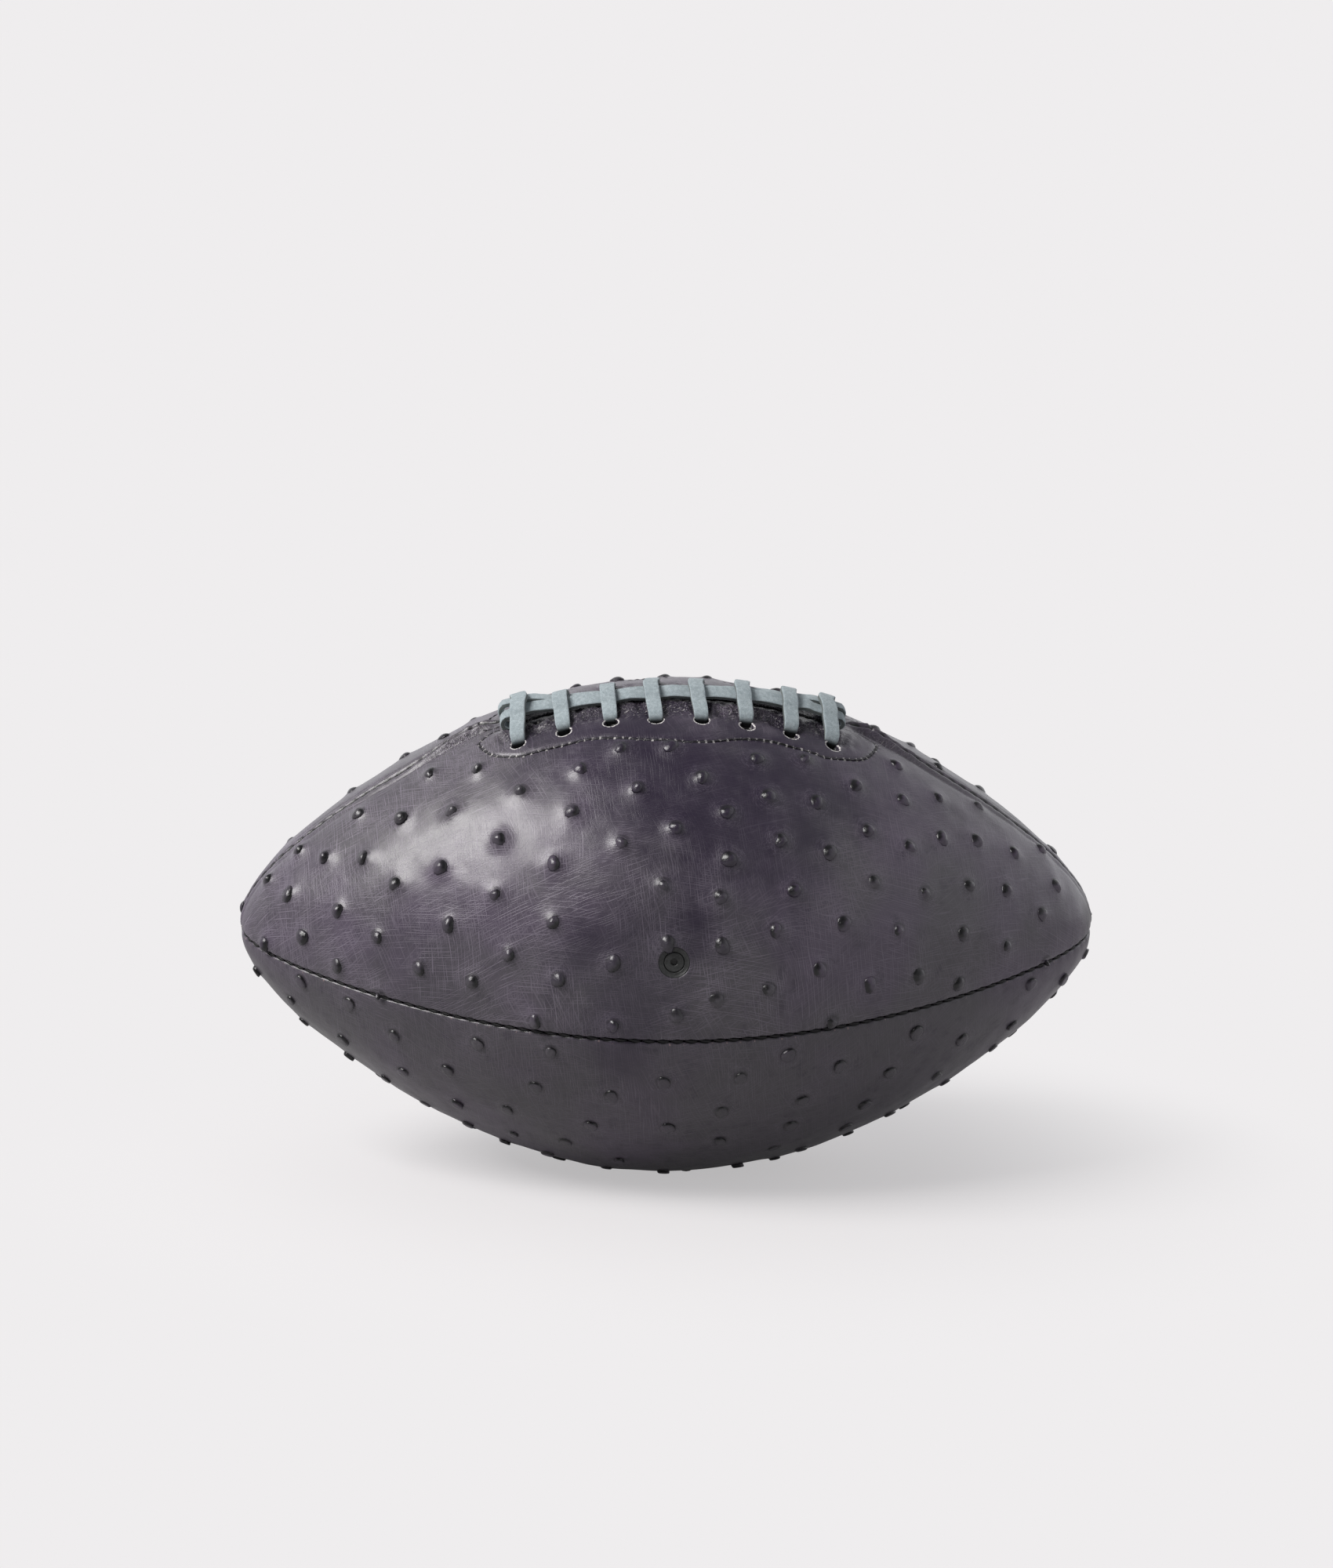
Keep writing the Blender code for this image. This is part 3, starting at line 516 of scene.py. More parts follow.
def new_piece(name: str, points: Array, quads: Array, caps: Iterable[Sequence[int]] = ()) -> Piece:
    """Makes a smooth shaded mesh object whose faces point outwards.

    The signed volume, a sixth of the sum of p0 . (p1 x p2) over fans of triangles, tells whether the faces
    point in, and they are reversed if they do.

    Args:
        name: Name of the object.
        points: Vertex places, any shape that ends in 3.
        quads: Rows of four vertex numbers.
        caps: Faces with more corners that close the ends.

    Returns:
        The new object, linked to the scene.
    """
    vertices = np.ascontiguousarray(points.reshape(-1, 3), np.float32)
    vertices[:, 2] = np.maximum(vertices[:, 2], 0.0)
    caps = [np.asarray(cap, np.int64) for cap in caps]
    centred = vertices.astype(float) - vertices.mean(0)
    corner = [centred[quads[:, k]] for k in range(4)]
    volume = np.einsum("ij,ij->i", corner[0], np.cross(corner[1], corner[2]))
    volume += np.einsum("ij,ij->i", corner[0], np.cross(corner[2], corner[3]))
    if volume.sum() < 0:
        quads = quads[:, ::-1]
        caps = [cap[::-1] for cap in caps]
    corners = np.concatenate([quads.ravel(), *caps]).astype(np.int32)
    sizes = np.array([4] * len(quads) + [len(cap) for cap in caps])
    starts = np.concatenate([[0], np.cumsum(sizes)[:-1]]).astype(np.int32)
    mesh = bpy.data.meshes.new(name)
    mesh.vertices.add(len(vertices))
    mesh.vertices.foreach_set("co", vertices.ravel())
    mesh.loops.add(len(corners))
    mesh.loops.foreach_set("vertex_index", corners)
    mesh.polygons.add(len(sizes))
    mesh.polygons.foreach_set("loop_start", starts)
    mesh.update(calc_edges=True)
    mesh.validate()
    mesh.shade_smooth()
    piece = bpy.data.objects.new(name, mesh)
    bpy.context.scene.collection.objects.link(piece)
    return piece


def tube_quads(rings: int, corners: int) -> Array:
    """Sides of a tube of closed rings.

    Args:
        rings: Number of rings.
        corners: Number of points in each.

    Returns:
        Rows of four vertex numbers.
    """
    i = np.arange(rings - 1)[:, None] * corners
    j = np.arange(corners)[None, :]
    after = (j + 1) % corners
    return np.stack([i + j, i + after, i + corners + after, i + corners + j], -1).reshape(-1, 4)


def repeated_piece(name: str, copies: Array) -> Piece:
    """Makes tubes in one mesh, each closed by two caps.

    Args:
        name: Name of the object.
        copies: Places of the vertices, in the shape (tube, ring, corner, 3).

    Returns:
        The object.
    """
    number, count, corners = copies.shape[:3]
    size = count * corners
    first = (np.arange(number) * size)[:, None, None]
    quads = (tube_quads(count, corners)[None] + first).reshape(-1, 4)
    caps = []
    for start in range(0, number * size, size):
        caps.append(np.arange(start, start + corners)[::-1])
        caps.append(np.arange(start + size - corners, start + size))
    return new_piece(name, copies, quads, caps)


def set_point_data(piece: Piece, name: str, values: Array) -> None:
    """Stores data that materials can read.

    Args:
        piece: The mesh object.
        name: Name of the data.
        values: A number or a vector for each vertex.
    """
    is_vector = values.shape[-1] == 3 and values.ndim > 1
    kind, key = ("FLOAT_VECTOR", "vector") if is_vector else ("FLOAT", "value")
    attribute = piece.data.attributes.new(name, kind, "POINT")
    attribute.data.foreach_set(key, np.ascontiguousarray(values, np.float32).ravel())


def set_uv(piece: Piece, uv: Array) -> None:
    """Gives the mesh a UV map.

    Args:
        piece: The mesh object.
        uv: A pair of numbers for each vertex.
    """
    corners = np.empty(len(piece.data.loops), np.int32)
    piece.data.loops.foreach_get("vertex_index", corners)
    layer = piece.data.uv_layers.new(name="skin")
    layer.uv.foreach_set("vector", uv.reshape(-1, 2)[corners].astype(np.float32).ravel())


@dataclass
class Lacing:
    """Sizes and places of the lace, its holes and the stitched outline of its facing.

    A place is (s, w, height): along the seam, across it with the front positive, and off the skin. The
    tuples have one number for each crossing, from the left, in millimetres or, for lap, as a share.

    Attributes:
        drift_mm: How far along the seam it has moved.
        lean_mm: How far its top leans along the seam.
        entry_mm: How much farther out than usual it goes down.
        back_lift_mm: How much higher the back strand is there.
        lift_mm: How much higher than at rest it is.
        lap: How far the front strand lies over the back one.
    """

    ball: BallForm
    view: PhotoView
    crossings: int = 8
    pitch: float = 14.6 * MM
    shift: float = 0.5 * MM
    hole_offset: float = 15.0 * MM
    hole_radius: float = 2.45 * MM
    width: float = 4.75 * MM
    thickness: float = 1.7 * MM
    end_overhang: float = 5.0 * MM
    drift_mm: tuple[float, ...] = (0.7, 0.8, 1.3, 1.2, 1.3, 1.4, 1.2, 0.1)
    lean_mm: tuple[float, ...] = (2.9, -0.1, -0.3, -1.2, -1.8, -2.1, -1.9, -4.0)
    entry_mm: tuple[float, ...] = (-1.2, -1.8, -2.1, 0.0, -0.9, -2.2, -2.0, -2.2)
    back_lift_mm: tuple[float, ...] = (1.9, 0.6, 0.0, 0.0, 0.0, 0.0, 0.5, 1.2)
    lift_mm: tuple[float, ...] = (3.7, 0.7, 0.3, 0.5, 0.8, 1.7, 2.4, 3.6)
    lap: tuple[float, ...] = (0.25, 0.9, 1.0, 1.0, 1.0, 1.0, 0.6, 0.0)
    stitch: float = 2.45 * MM
    least_w: float = 1.2 * MM
    facing_spacing: float = 0.8 * MM

    @property
    def half_row(self) -> float:
        """Half the length from the first crossing to the last at their even pitch."""
        return self.pitch * (self.crossings - 1) / 2

    @property
    def row_end(self) -> float:
        """Reach of the lace along the seam from the middle of the row."""
        return self.half_row + self.end_overhang

    def places(self) -> Array:
        """The cross laces' places along the seam, at their pitch with the drift that tightening brought."""
        even = np.linspace(-self.half_row, self.half_row, self.crossings) + self.shift
        return even + np.array(self.drift_mm) * MM

    def facing_line(self) -> tuple[Array, Array]:
        """Follows the facing's stitched outline on the front.

        Returns:
            Its (s, w) rows, and the length along it at each.
        """
        s, w = self.ball.seam_places(self.view.onto_ball(FACING_LINE_PX))
        corners = stacked(s, np.maximum(w, self.least_w))
        return even_rows(smooth_rows(corners, 8), self.facing_spacing)


@dataclass
class Quills:
    """The quill bumps: where they stand, how large they are, and the tips on them."""

    ball: BallForm
    view: PhotoView
    lacing: Lacing
    least_gap: float = 14.2 * MM
    facing_margin: float = 30.0 * MM
    tries: int = 9000
    seed: int = 21
    cap_radius: float = 1.9 * MM
    cap_height: float = 1.15 * MM
    flat_radius: float = 2.15 * MM
    flat_height: float = 0.80 * MM
    mound_radius: float = 2.9 * MM
    mound_power: float = 1.6
    mound_height: float = 1.7 * MM
    flat_mound: float = 0.20
    segments: int = 12
    round_profile: tuple[tuple[float, float], ...] = (
        (1.24, -0.40), (1.12, 0.02), (0.92, 0.36), (0.64, 0.71), (0.33, 0.94), (0.10, 1.0),
    )
    flat_profile: tuple[tuple[float, float], ...] = (
        (1.05, -0.70), (1.04, 0.05), (0.99, 0.66), (0.84, 0.91), (0.50, 1.0), (0.12, 1.0),
    )
    points: Array = field(init=False)

    def __post_init__(self) -> None:
        """Settles all the places, those of the photograph first."""
        seen = self.view.onto_ball(FRONT_UPPER_QUILLS_PX + FRONT_LOWER_QUILLS_PX)
        self.points = np.array(self.spread(list(seen)))

    def spread(self, kept: list[Array]) -> list[Array]:
        """Fills what the photograph doesn't show with random places that keep a least distance.

        Args:
            kept: Places that are already taken.

        Returns:
            Those places and the new ones.
        """
        draw = np.random.default_rng(self.seed)
        phi, _ = self.ball.even_phi(1 * MM, 4 * MM)
        radius = self.ball.outline(phi)[1]
        phi = draw.choice(phi, self.tries, p=radius / radius.sum())
        theta = draw.uniform(0, 2 * math.pi, self.tries)
        points = self.ball.place(phi, theta, 0.0)
        _, _, outward = self.ball.axes(phi, theta)
        place, _ = self.view.stand()
        facing = np.einsum("ij,ij->i", outward, unit(place - points))
        from_lacing = np.abs(self.ball.seam_arc(phi, theta))
        in_row = np.abs(points[:, 0]) < self.lacing.half_row + self.lacing.pitch
        on_facing = (from_lacing < self.facing_margin) & in_row
        for point, shown, laced in zip(points, facing, on_facing):
            if shown > 0.12 or laced:
                continue
            gap = np.linalg.norm(np.array(kept) - point, axis=1).min()
            if gap > self.least_gap:
                kept.append(point)
        return kept

    def corner_of(self, theta: Array) -> Array:
        """The number of the panel on which an angle lies."""
        return ((theta - self.ball.laced_seam) % (2 * math.pi) // QUARTER).astype(int)

    def offsets(self, points: Array) -> tuple[Array, Array]:
        """Finds the nearest quill of each point.

        Args:
            points: Places on the skin, as a grid.

        Returns:
            The way from that quill along X and round the ball with the quill's number as a share, and a mask
            that is 1 at the quill and 0 well before the border to the next quill's neighbourhood.
        """
        flat = points.reshape(-1, 3)
        best = np.full(len(flat), 1.0)
        second = np.full(len(flat), 1.0)
        nearest = np.zeros(len(flat), int)
        for number, quill in enumerate(self.points):
            gap = np.linalg.norm(flat - quill, axis=1)
            closer = gap < best
            second = np.where(closer, best, np.minimum(second, gap))
            best[closer] = gap[closer]
            nearest[closer] = number
        phi, theta = self.ball.phi_theta(self.points)
        along, around, _ = self.ball.axes(phi, theta)
        way = flat - self.points[nearest]
        x, y = (np.einsum("ij,ij->i", way, axis[nearest]) for axis in (along, around))
        local = stacked(x, y, nearest / len(self.points))
        mask = smoothstep(second - best, 1.8 * MM, 4.2 * MM) * (1 - smoothstep(best, 4.2 * MM, 7.0 * MM))
        return local.reshape(points.shape), mask.reshape(points.shape[:-1])

    def mound_share(self, corner: Corner, x: Array) -> Array:
        """How much of their height the mounds have: little on the lower panels, at the back and to the right.

        Args:
            corner: The panel.
            x: Places along X.

        Returns:
            The share at each.
        """
        if corner.is_flat:
            return np.full(x.shape, self.flat_mound)
        if corner is Corner.BACK_UPPER:
            return np.full(x.shape, 0.4)
        return np.interp(x, [10 * MM, 90 * MM], [1.0, 0.5])

    def swelling(self, offsets: Array, share: Array) -> Array:
        """Height of the skin round a quill: a share of a tent exp(-(d / r)^p) of the distance.

        Args:
            offsets: What the method offsets gives.
            share: Share of the height.

        Returns:
            The height at each point.
        """
        distance = np.hypot(offsets[..., 0], offsets[..., 1])
        tent = np.exp(-((distance / self.mound_radius) ** self.mound_power))
        ring = bell(distance, 2.7 * MM, 0.7 * MM)
        return (self.mound_height * tent - 0.08 * MM * ring) * share

    def caps(self, corner: Corner) -> Piece:
        """The tips of one panel's quills.

        A tip is a profile of radius and height turned about the surface's normal, made oval, a little uneven
        and leaning. The upper panels have round tips and the lower ones flat ones.

        Args:
            corner: The panel.

        Returns:
            One mesh with a closed body for each quill.
        """
        phi, theta = self.ball.phi_theta(self.points)
        mine = self.corner_of(theta) == corner.value
        phi, theta = phi[mine], theta[mine]
        along, around, outward = self.ball.axes(phi, theta)
        draw = np.random.default_rng(self.seed + 1 + corner.value)
        each = (len(phi), 1, 1)
        wide = self.flat_radius if corner.is_flat else self.cap_radius
        tall = self.flat_height if corner.is_flat else self.cap_height
        tall *= 0.7 if corner is Corner.BACK_UPPER else 1.0
        profile = np.array(self.flat_profile if corner.is_flat else self.round_profile)
        share = profile[None, :, 1:]
        turn = full_turn(self.segments)
        size = draw.uniform(0.82, 1.10, each)
        turned = np.mod(theta - self.ball.laced_seam - corner.value * QUARTER, 2 * math.pi)
        room = np.minimum(turned, QUARTER - turned) * self.ball.outline(phi)[1]
        size *= np.clip(room / (1.5 * wide), 0.4, 1.0)[:, None, None]
        uneven = 1 + 0.08 * np.sin(2 * turn + draw.uniform(0, 6.3, each))
        uneven = uneven + 0.06 * np.sin(3 * turn + draw.uniform(0, 6.3, each))
        radius = wide * size * uneven * profile[None, :, :1]
        height = tall * draw.uniform(0.8, 1.15, each) * share
        lean_x, lean_y = draw.uniform(-0.1, 0.55, each), draw.uniform(-0.2, 0.4, each)
        x = radius * np.cos(turn) + lean_x * height
        y = radius * np.sin(turn) * draw.uniform(1.0, 1.18, each) + corner.side * lean_y * height
        level = 0.6 * self.mound_height * self.mound_share(corner, self.ball.along(phi))
        centre = self.ball.place(phi, theta, level)
        points = (
            centre[:, None, None, :]
            + x[..., None] * along[:, None, None, :]
            + y[..., None] * around[:, None, None, :]
            + height[..., None] * outward[:, None, None, :]
        )
        piece = repeated_piece(f"quill_tips_{corner.label}", points)
        self.mark(piece, corner, phi, turn, share, draw)
        return piece

    def mark(
        self, piece: Piece, corner: Corner, phi: Array, turn: Array, share: Array, draw: np.random.Generator
    ) -> None:
        """Stores what the leather's material reads on the tips.

        The dark side of a tip is painted shade: above on the lower panels, and on the upper ones turning from
        the right at the ball's left end to the upper left at its right end.

        Args:
            piece: The tips of one panel.
            corner: The panel.
            phi: Place of each quill from tip to tip.
            turn: Angle of each corner of a ring.
            share: Height share of each ring.
            draw: Source of the random tones.
        """
        number = len(phi)
        x = self.ball.along(phi)
        if corner.is_flat:
            way = np.full(number, -QUARTER)
            tone = draw.uniform(0.75, 1.0, number)
            depth = np.full(number, 1.0)
        else:
            way = np.interp(x, [-30 * MM, 20 * MM], [0.1, -2.6])
            tone = np.interp(x, [-90 * MM, -10 * MM, 60 * MM], [0.7, 0.9, 1.0])
            tone = tone + draw.uniform(-0.25, 0.1, number)
            depth = np.interp(np.abs(x + 5 * MM), [0, 40 * MM], [0.7, 1.0])
            tone = tone * (0.4 if corner is Corner.BACK_UPPER else 1.0)
        way = way + draw.normal(0, 0.35, number)
        # Painted shade on one side of each tip, the side that way points to.
        facing = np.cos(turn - corner.side * way[:, None, None])
        dark = smoothstep(facing, 0.05, 0.65) * smoothstep(share, -0.3, 0.1)
        dark = dark * (1 - smoothstep(share, 0.62, 1.0)) * depth[:, None, None]
        set_point_data(piece, "bead", stacked(1.0, dark, tone[:, None, None]))
        away = stacked(np.full(dark.shape, 99.0), 0.0, 0.0)
        set_point_data(piece, "seam", away)
        set_point_data(piece, "facing", away)


@dataclass
class LeatherPanel:
    """A quarter of the ball's skin: quilled outside, edges turned into the seams, and plain flesh side."""

    corner: Corner
    ball: BallForm
    quills: Quills
    lacing: Lacing
    step: float = 0.81 * MM
    fine_step: float = 0.42 * MM
    fine_zone: float = 5.2 * MM
    thickness: float = 1.9 * MM
    half_gap: float = 0.28 * MM
    roll: float = 0.95 * MM
    flange: float = 3.6 * MM
    tip_radius: float = 0.5 * MM
    inner_columns: int = 10
    seam_sag: float = 0.35 * MM
    seam_sag_reach: float = 2.2 * MM
    stitch_pitch: float = 4.5 * MM
    valve_x: float = -1.2 * MM
    valve_angle: float = math.radians(161.5)
    valve_hole: float = 4.95 * MM
    # Scale on the distance from the laced seam, which widens the painted shade along its groove.
    dark_groove: float = 0.62
    plain_by_lacing: float = 6.0 * MM
    roll_angles: tuple[float, ...] = (0.0, 0.3, 0.6, 0.9, 1.2)
    block: int = 5

    def __post_init__(self) -> None:
        """Works out the rows from tip to tip and the panel's first seam."""
        self.phi, self.arc = self.ball.even_phi(self.step, self.tip_radius)
        self.seam = self.ball.laced_seam + self.corner.value * QUARTER
        self.radius = self.ball.outline(self.phi)[1]

    def edge_sizes(self) -> tuple[Array, ...]:
        """Sizes of the turned edges, narrower where the tips leave less room.

        Returns:
            Roll radius, thickness and flange depth, each as a column with one number for each row.
        """
        radius = self.radius[:, None]
        room = radius * math.sin(QUARTER / 2) - self.half_gap
        roll = np.minimum(self.roll, 0.7 * room)
        wall = np.minimum(self.thickness, 0.35 * room)
        return roll, wall, np.minimum(self.flange, 0.8 * radius)

    def shares(self) -> Array:
        """Divides the arc between the two rolled edges, more finely beside them.

        Returns:
            Shares of the arc, from 0 to 1.
        """
        whole = QUARTER * self.ball.radius - 2 * (self.half_gap + self.roll)
        fine = np.linspace(0, self.fine_zone, round(self.fine_zone / self.fine_step) + 1)
        middle = whole - 2 * self.fine_zone
        coarse = self.fine_zone + np.linspace(0, middle, round(middle / self.step) + 1)
        return np.concatenate([fine[:-1], coarse, whole - fine[-2::-1]]) / whole

    def columns(self) -> tuple[Array, Array]:
        """Angle and height of every point of the closed cross-section at each row.

        The outside is a turned edge, an arc of the roll's radius, then the arc between the seams. The inside
        follows it one thickness deeper with few columns.

        Returns:
            Two arrays of shape (row, column), first the outside's columns and then the inside's, reversed.
        """
        roll, wall, depth = self.edge_sizes()
        radius, normal_r = self.radius[:, None], self.ball.outline(self.phi)[3][:, None]
        curve = np.array(self.roll_angles)
        edge = self.half_gap + np.hstack([0 * roll, roll * (1 - np.cos(curve))])
        edge_height = np.hstack([-depth, -roll * (1 - np.sin(curve))])
        turn = self.angle_of(edge, radius + edge_height * normal_r)
        start = np.arcsin((self.half_gap + roll) / radius)
        middle = start + self.shares() * (QUARTER - 2 * start)
        foot = self.angle_of(self.half_gap + wall, radius - depth * normal_r)
        start = self.angle_of(self.half_gap + wall + 0.2 * roll, radius - wall)
        inner = start + np.linspace(0, 1, self.inner_columns) * (QUARTER - 2 * start)
        inside = np.hstack([foot, inner, QUARTER - foot])[:, ::-1]
        angle = np.hstack([turn, middle, QUARTER - turn[:, ::-1], inside])
        inside_height = np.hstack([-depth, 0 * inner - wall, -depth])
        height = np.hstack([edge_height, 0 * middle, edge_height[:, ::-1], inside_height])
        laced_end = angle if self.corner is Corner.FRONT_UPPER else QUARTER - angle
        share = (1 - smoothstep(laced_end / QUARTER, 0.06, 0.75)) * self.corner.is_laced
        return self.seam + angle + self.ball.bend(self.phi)[:, None] * share, height

    @staticmethod
    def angle_of(distance: Array, reach: Array) -> Array:
        """Angle from a seam's plane of a point at a distance from it and a reach from the long axis."""
        return np.arcsin(np.clip(distance / np.maximum(reach, 1e-5), 0, 0.69))

    def from_seams(self, phi: Array, theta: Array) -> tuple[Array, Array]:
        """Distances of points from the panel's two seams, the laced one first where there is one.

        Args:
            phi: Grid of phi.
            theta: Grid of theta.

        Returns:
            Both distances at each point.
        """
        radius, bend = self.ball.outline(phi)[1], self.ball.bend(phi)
        start = self.seam + bend * (self.corner is Corner.FRONT_UPPER)
        end = self.seam + QUARTER + bend * (self.corner is Corner.BACK_UPPER)
        pair = np.abs(theta - start) * radius, np.abs(end - theta) * radius
        return pair[::-1] if self.corner is Corner.BACK_UPPER else pair

    def holes(self) -> list[tuple[float, float, float, bool]]:
        """Lists the holes of this panel.

        Returns:
            Centre (s, w), radius, and whether the cut edge is pale, for each.
        """
        if not self.corner.is_laced:
            return []
        offset = self.corner.side * self.lacing.hole_offset
        pale = self.corner is Corner.FRONT_UPPER
        holes = [(s, offset, self.lacing.hole_radius, pale) for s in self.lacing.places()]
        if self.corner is Corner.FRONT_UPPER:
            radius = self.ball.outline(self.ball.phi_at(self.valve_x))[1]
            w = (self.valve_angle - self.ball.laced_seam) * radius
            holes.append((self.valve_x, float(w), self.valve_hole, False))
        return holes

    def open_holes(self, phi: Array, theta: Array, height: Array) -> tuple[Array, ...]:
        """Bends the grid into round holes.

        Round each hole, each square ring of grid points becomes a circle: inside the hole the circles go
        down its wall to a flat floor, and outside they blend back to the grid over a few steps.

        Args:
            phi: Grid of phi, changed into a copy.
            theta: Grid of theta.
            height: Grid of heights.

        Returns:
            New phi, theta and height, and masks of the pale cut edge and of the painted shade inside.
        """
        phi, theta, height = phi.copy(), theta.copy(), height.copy()
        edge, dark = np.zeros_like(height), np.zeros_like(height)
        for s, w, hole_radius, pale in self.holes():
            here_s, here_w = self.ball.along(phi), self.ball.seam_arc(phi, theta)
            near_s, near_w = np.unravel_index(np.argmin(np.hypot(here_s - s, here_w - w)), phi.shape)
            rim = max(3, round(hole_radius / self.step))
            reach = rim + self.block
            block = slice(near_s - reach, near_s + reach + 1), slice(near_w - reach, near_w + reach + 1)
            di, dj = np.mgrid[-reach : reach + 1, -reach : reach + 1]
            step_w = np.sign(here_w[near_s, near_w + 1] - here_w[near_s, near_w])
            beyond = np.maximum(np.abs(di), np.abs(dj)) - rim
            size = np.maximum(np.hypot(di, dj), 1)
            fall = self.ball.outline(self.ball.phi_at(s))[3]
            steps = [-rim, -2, -1, 0, 1, 2, self.block]
            radii = [-1.0, -0.06, -0.015, 0.0, 0.55 * MM, 1.2 * MM, self.block * self.step]
            radii[:3] = [share * hole_radius for share in radii[:3]]
            circle = hole_radius + np.interp(beyond, steps, radii)
            blend = smoothstep(beyond, 1.9, self.block)
            new_s = (s + circle * di / size * fall) * (1 - blend) + here_s[block] * blend
            new_w = (w + circle * dj / size * step_w) * (1 - blend) + here_w[block] * blend
            phi[block] = self.ball.phi_at(new_s)
            theta[block] = self.ball.laced_seam + new_w / self.ball.outline(phi[block])[1]
            height[block] += MM * np.interp(beyond, steps[1:6], [-1.8, -0.7, 0.12, 0.10, 0.0])
            if pale:
                ring = np.interp(beyond, steps[2:6], [0, 1, 0.35, 0])
                edge[block] = np.maximum(edge[block], ring)
            # Painted shade on the hole's wall and floor.
            dark[block] = np.maximum(dark[block], np.interp(beyond, steps[1:3], [1, 0]))
        return phi, theta, height, edge, dark

    def facing_way(self, phi: Array, theta: Array) -> Array:
        """Where grid points lie from the facing's stitch line.

        Args:
            phi: Grid of phi.
            theta: Grid of theta.

        Returns:
            The distance across the line, the length along it, and zero, for each point.
        """
        far = stacked(np.full(phi.shape, 99 * MM), 0.0, 0.0)
        if not self.corner.is_laced:
            return far
        line, length = self.lacing.facing_line()
        tangent = unit(np.gradient(line, axis=0))
        s = self.ball.along(phi)
        w = self.ball.seam_arc(phi, theta) * self.corner.side
        near = (np.abs(s) < 80 * MM) & (w < 36 * MM) & (w > -1 * MM)
        spot = stacked(s[near], w[near])
        nearest = np.linalg.norm(spot[:, None, :] - line[None], axis=2).argmin(1)
        way = spot - line[nearest]
        side = tangent[nearest, 0] * way[:, 1] - tangent[nearest, 1] * way[:, 0]
        far[near] = stacked(side, length[nearest] + (way * tangent[nearest]).sum(1), 0.0)
        return far

    def relief(self, base: Array, phi: Array, theta: Array, way: Array, offsets: Array) -> Array:
        """Height added to the outside by quills, swells, seams and stitches, the welt and the lacing.

        Args:
            base: Points of the plain surface.
            phi: Their phi.
            theta: Their theta.
            way: What facing_way gives for them.
            offsets: Their ways from the nearest quills.

        Returns:
            The height at each point.
        """
        laced, other = self.from_seams(phi, theta)
        away = np.minimum(laced, other) / MM
        share = self.quills.mound_share(self.corner, base[..., 0])
        mounds = self.quills.swelling(offsets, share) * smoothstep(away, 0.6, 3.0)
        swells = 0.22 * Waves(34 * MM, 14, 5).at(base) * smoothstep(away, 2, 14)
        ripples = 0.05 * Waves(9 * MM, 18, 8).at(base)
        sag = self.seam_sag * np.exp(-away * MM / self.seam_sag_reach)
        pull = 0.5 + 0.5 * np.cos(2 * math.pi * self.arc[:, None] / self.stitch_pitch)
        added = mounds - sag + MM * (swells + ripples - 0.36 * pull**3 * np.exp(-away / 1.5))
        if self.corner.is_laced:
            added += MM * self.welt(base, laced / MM)
            added += MM * self.lacing_relief(base, phi, theta, way / MM)
        return added

    def welt(self, base: Array, away: Array) -> Array:
        """The raised roll beside the laced seam where it is sewn: a bell with folds, and a groove beside it.

        Args:
            base: Points of the plain surface.
            away: Their distance from the laced seam in millimetres.

        Returns:
            The height at each point in millimetres.
        """
        beyond = (np.abs(base[..., 0] - self.lacing.shift) - self.lacing.row_end) / MM
        full = smoothstep(beyond, 0.5, 8) * (1 - 0.6 * smoothstep(beyond, 20, 75))
        near_lace = 1 - smoothstep(beyond, 6, 32)
        folds = 1 - 1.8 * np.abs(Waves(4.2 * MM, 12, 31).at(base * np.array([1.0, 0.25, 0.25])))
        bead, foot = bell(away, 1.9, 1.25), bell(away, 4.2, 0.75)
        uneven = 1 + 0.10 * Waves(7 * MM, 10, 33).at(base)
        roll = (0.75 + 1.25 * near_lace) * uneven * bead + 0.30 * near_lace * folds * (bead + 0.6 * foot)
        return full * (roll - (0.35 + 0.25 * near_lace) * foot)

    def by_row(self, phi: Array, theta: Array) -> tuple[Array, ...]:
        """Places beside the lacing, in millimetres.

        Args:
            phi: Grid of phi.
            theta: Grid of theta.

        Returns:
            The distance along the seam from the row's middle, the same past the last crossing, and the
            distance across from the seam.
        """
        beside = np.abs(self.ball.along(phi) - self.lacing.shift) / MM
        return beside, beside - self.lacing.half_row / MM, np.abs(self.ball.seam_arc(phi, theta)) / MM

    def lacing_relief(self, base: Array, phi: Array, theta: Array, way: Array) -> Array:
        """Relief near the lacing: pinched stitch line, raised lip, puckers, tugs and the dips at the ends.

        Args:
            base: Points of the plain surface.
            phi: Their phi.
            theta: Their theta.
            way: What facing_way gives for them, in millimetres.

        Returns:
            The height at each point in millimetres.
        """
        beside, past, w = self.by_row(phi, theta)
        across, along = way[..., 0], way[..., 1]
        in_row = 1 - smoothstep(past, 3, 10)
        stitch = 0.5 + 0.5 * np.cos(2 * math.pi * along * MM / self.lacing.stitch)
        added = -(0.16 + 0.20 * stitch) * bell(across, 0.0, 0.8)
        added += 0.30 * (1 - smoothstep(across, -1.5, 0.2)) * (np.abs(across) < 90)
        added += 0.4 * bell(w, 5.6, 3.0) * in_row
        folded = base * np.array([1.0, 0.55, 0.55])
        puckers = 0.5 * (1 - 1.7 * np.abs(Waves(6.0 * MM, 22, 12).at(folded)))
        puckers += 0.2 * (1 - 1.7 * np.abs(Waves(2.9 * MM, 26, 14).at(folded)))
        added += puckers * smoothstep(w, 2, 5) * (1 - smoothstep(w, 9, 16)) * in_row
        tug = 0.5 - 0.5 * np.cos(2 * math.pi * beside * MM / self.lacing.pitch)
        added -= 0.35 * tug * bell(w, 11, 3.5) * in_row
        dip = 1 - smoothstep(np.abs(past) / 2.6, 0.5, 1.25)
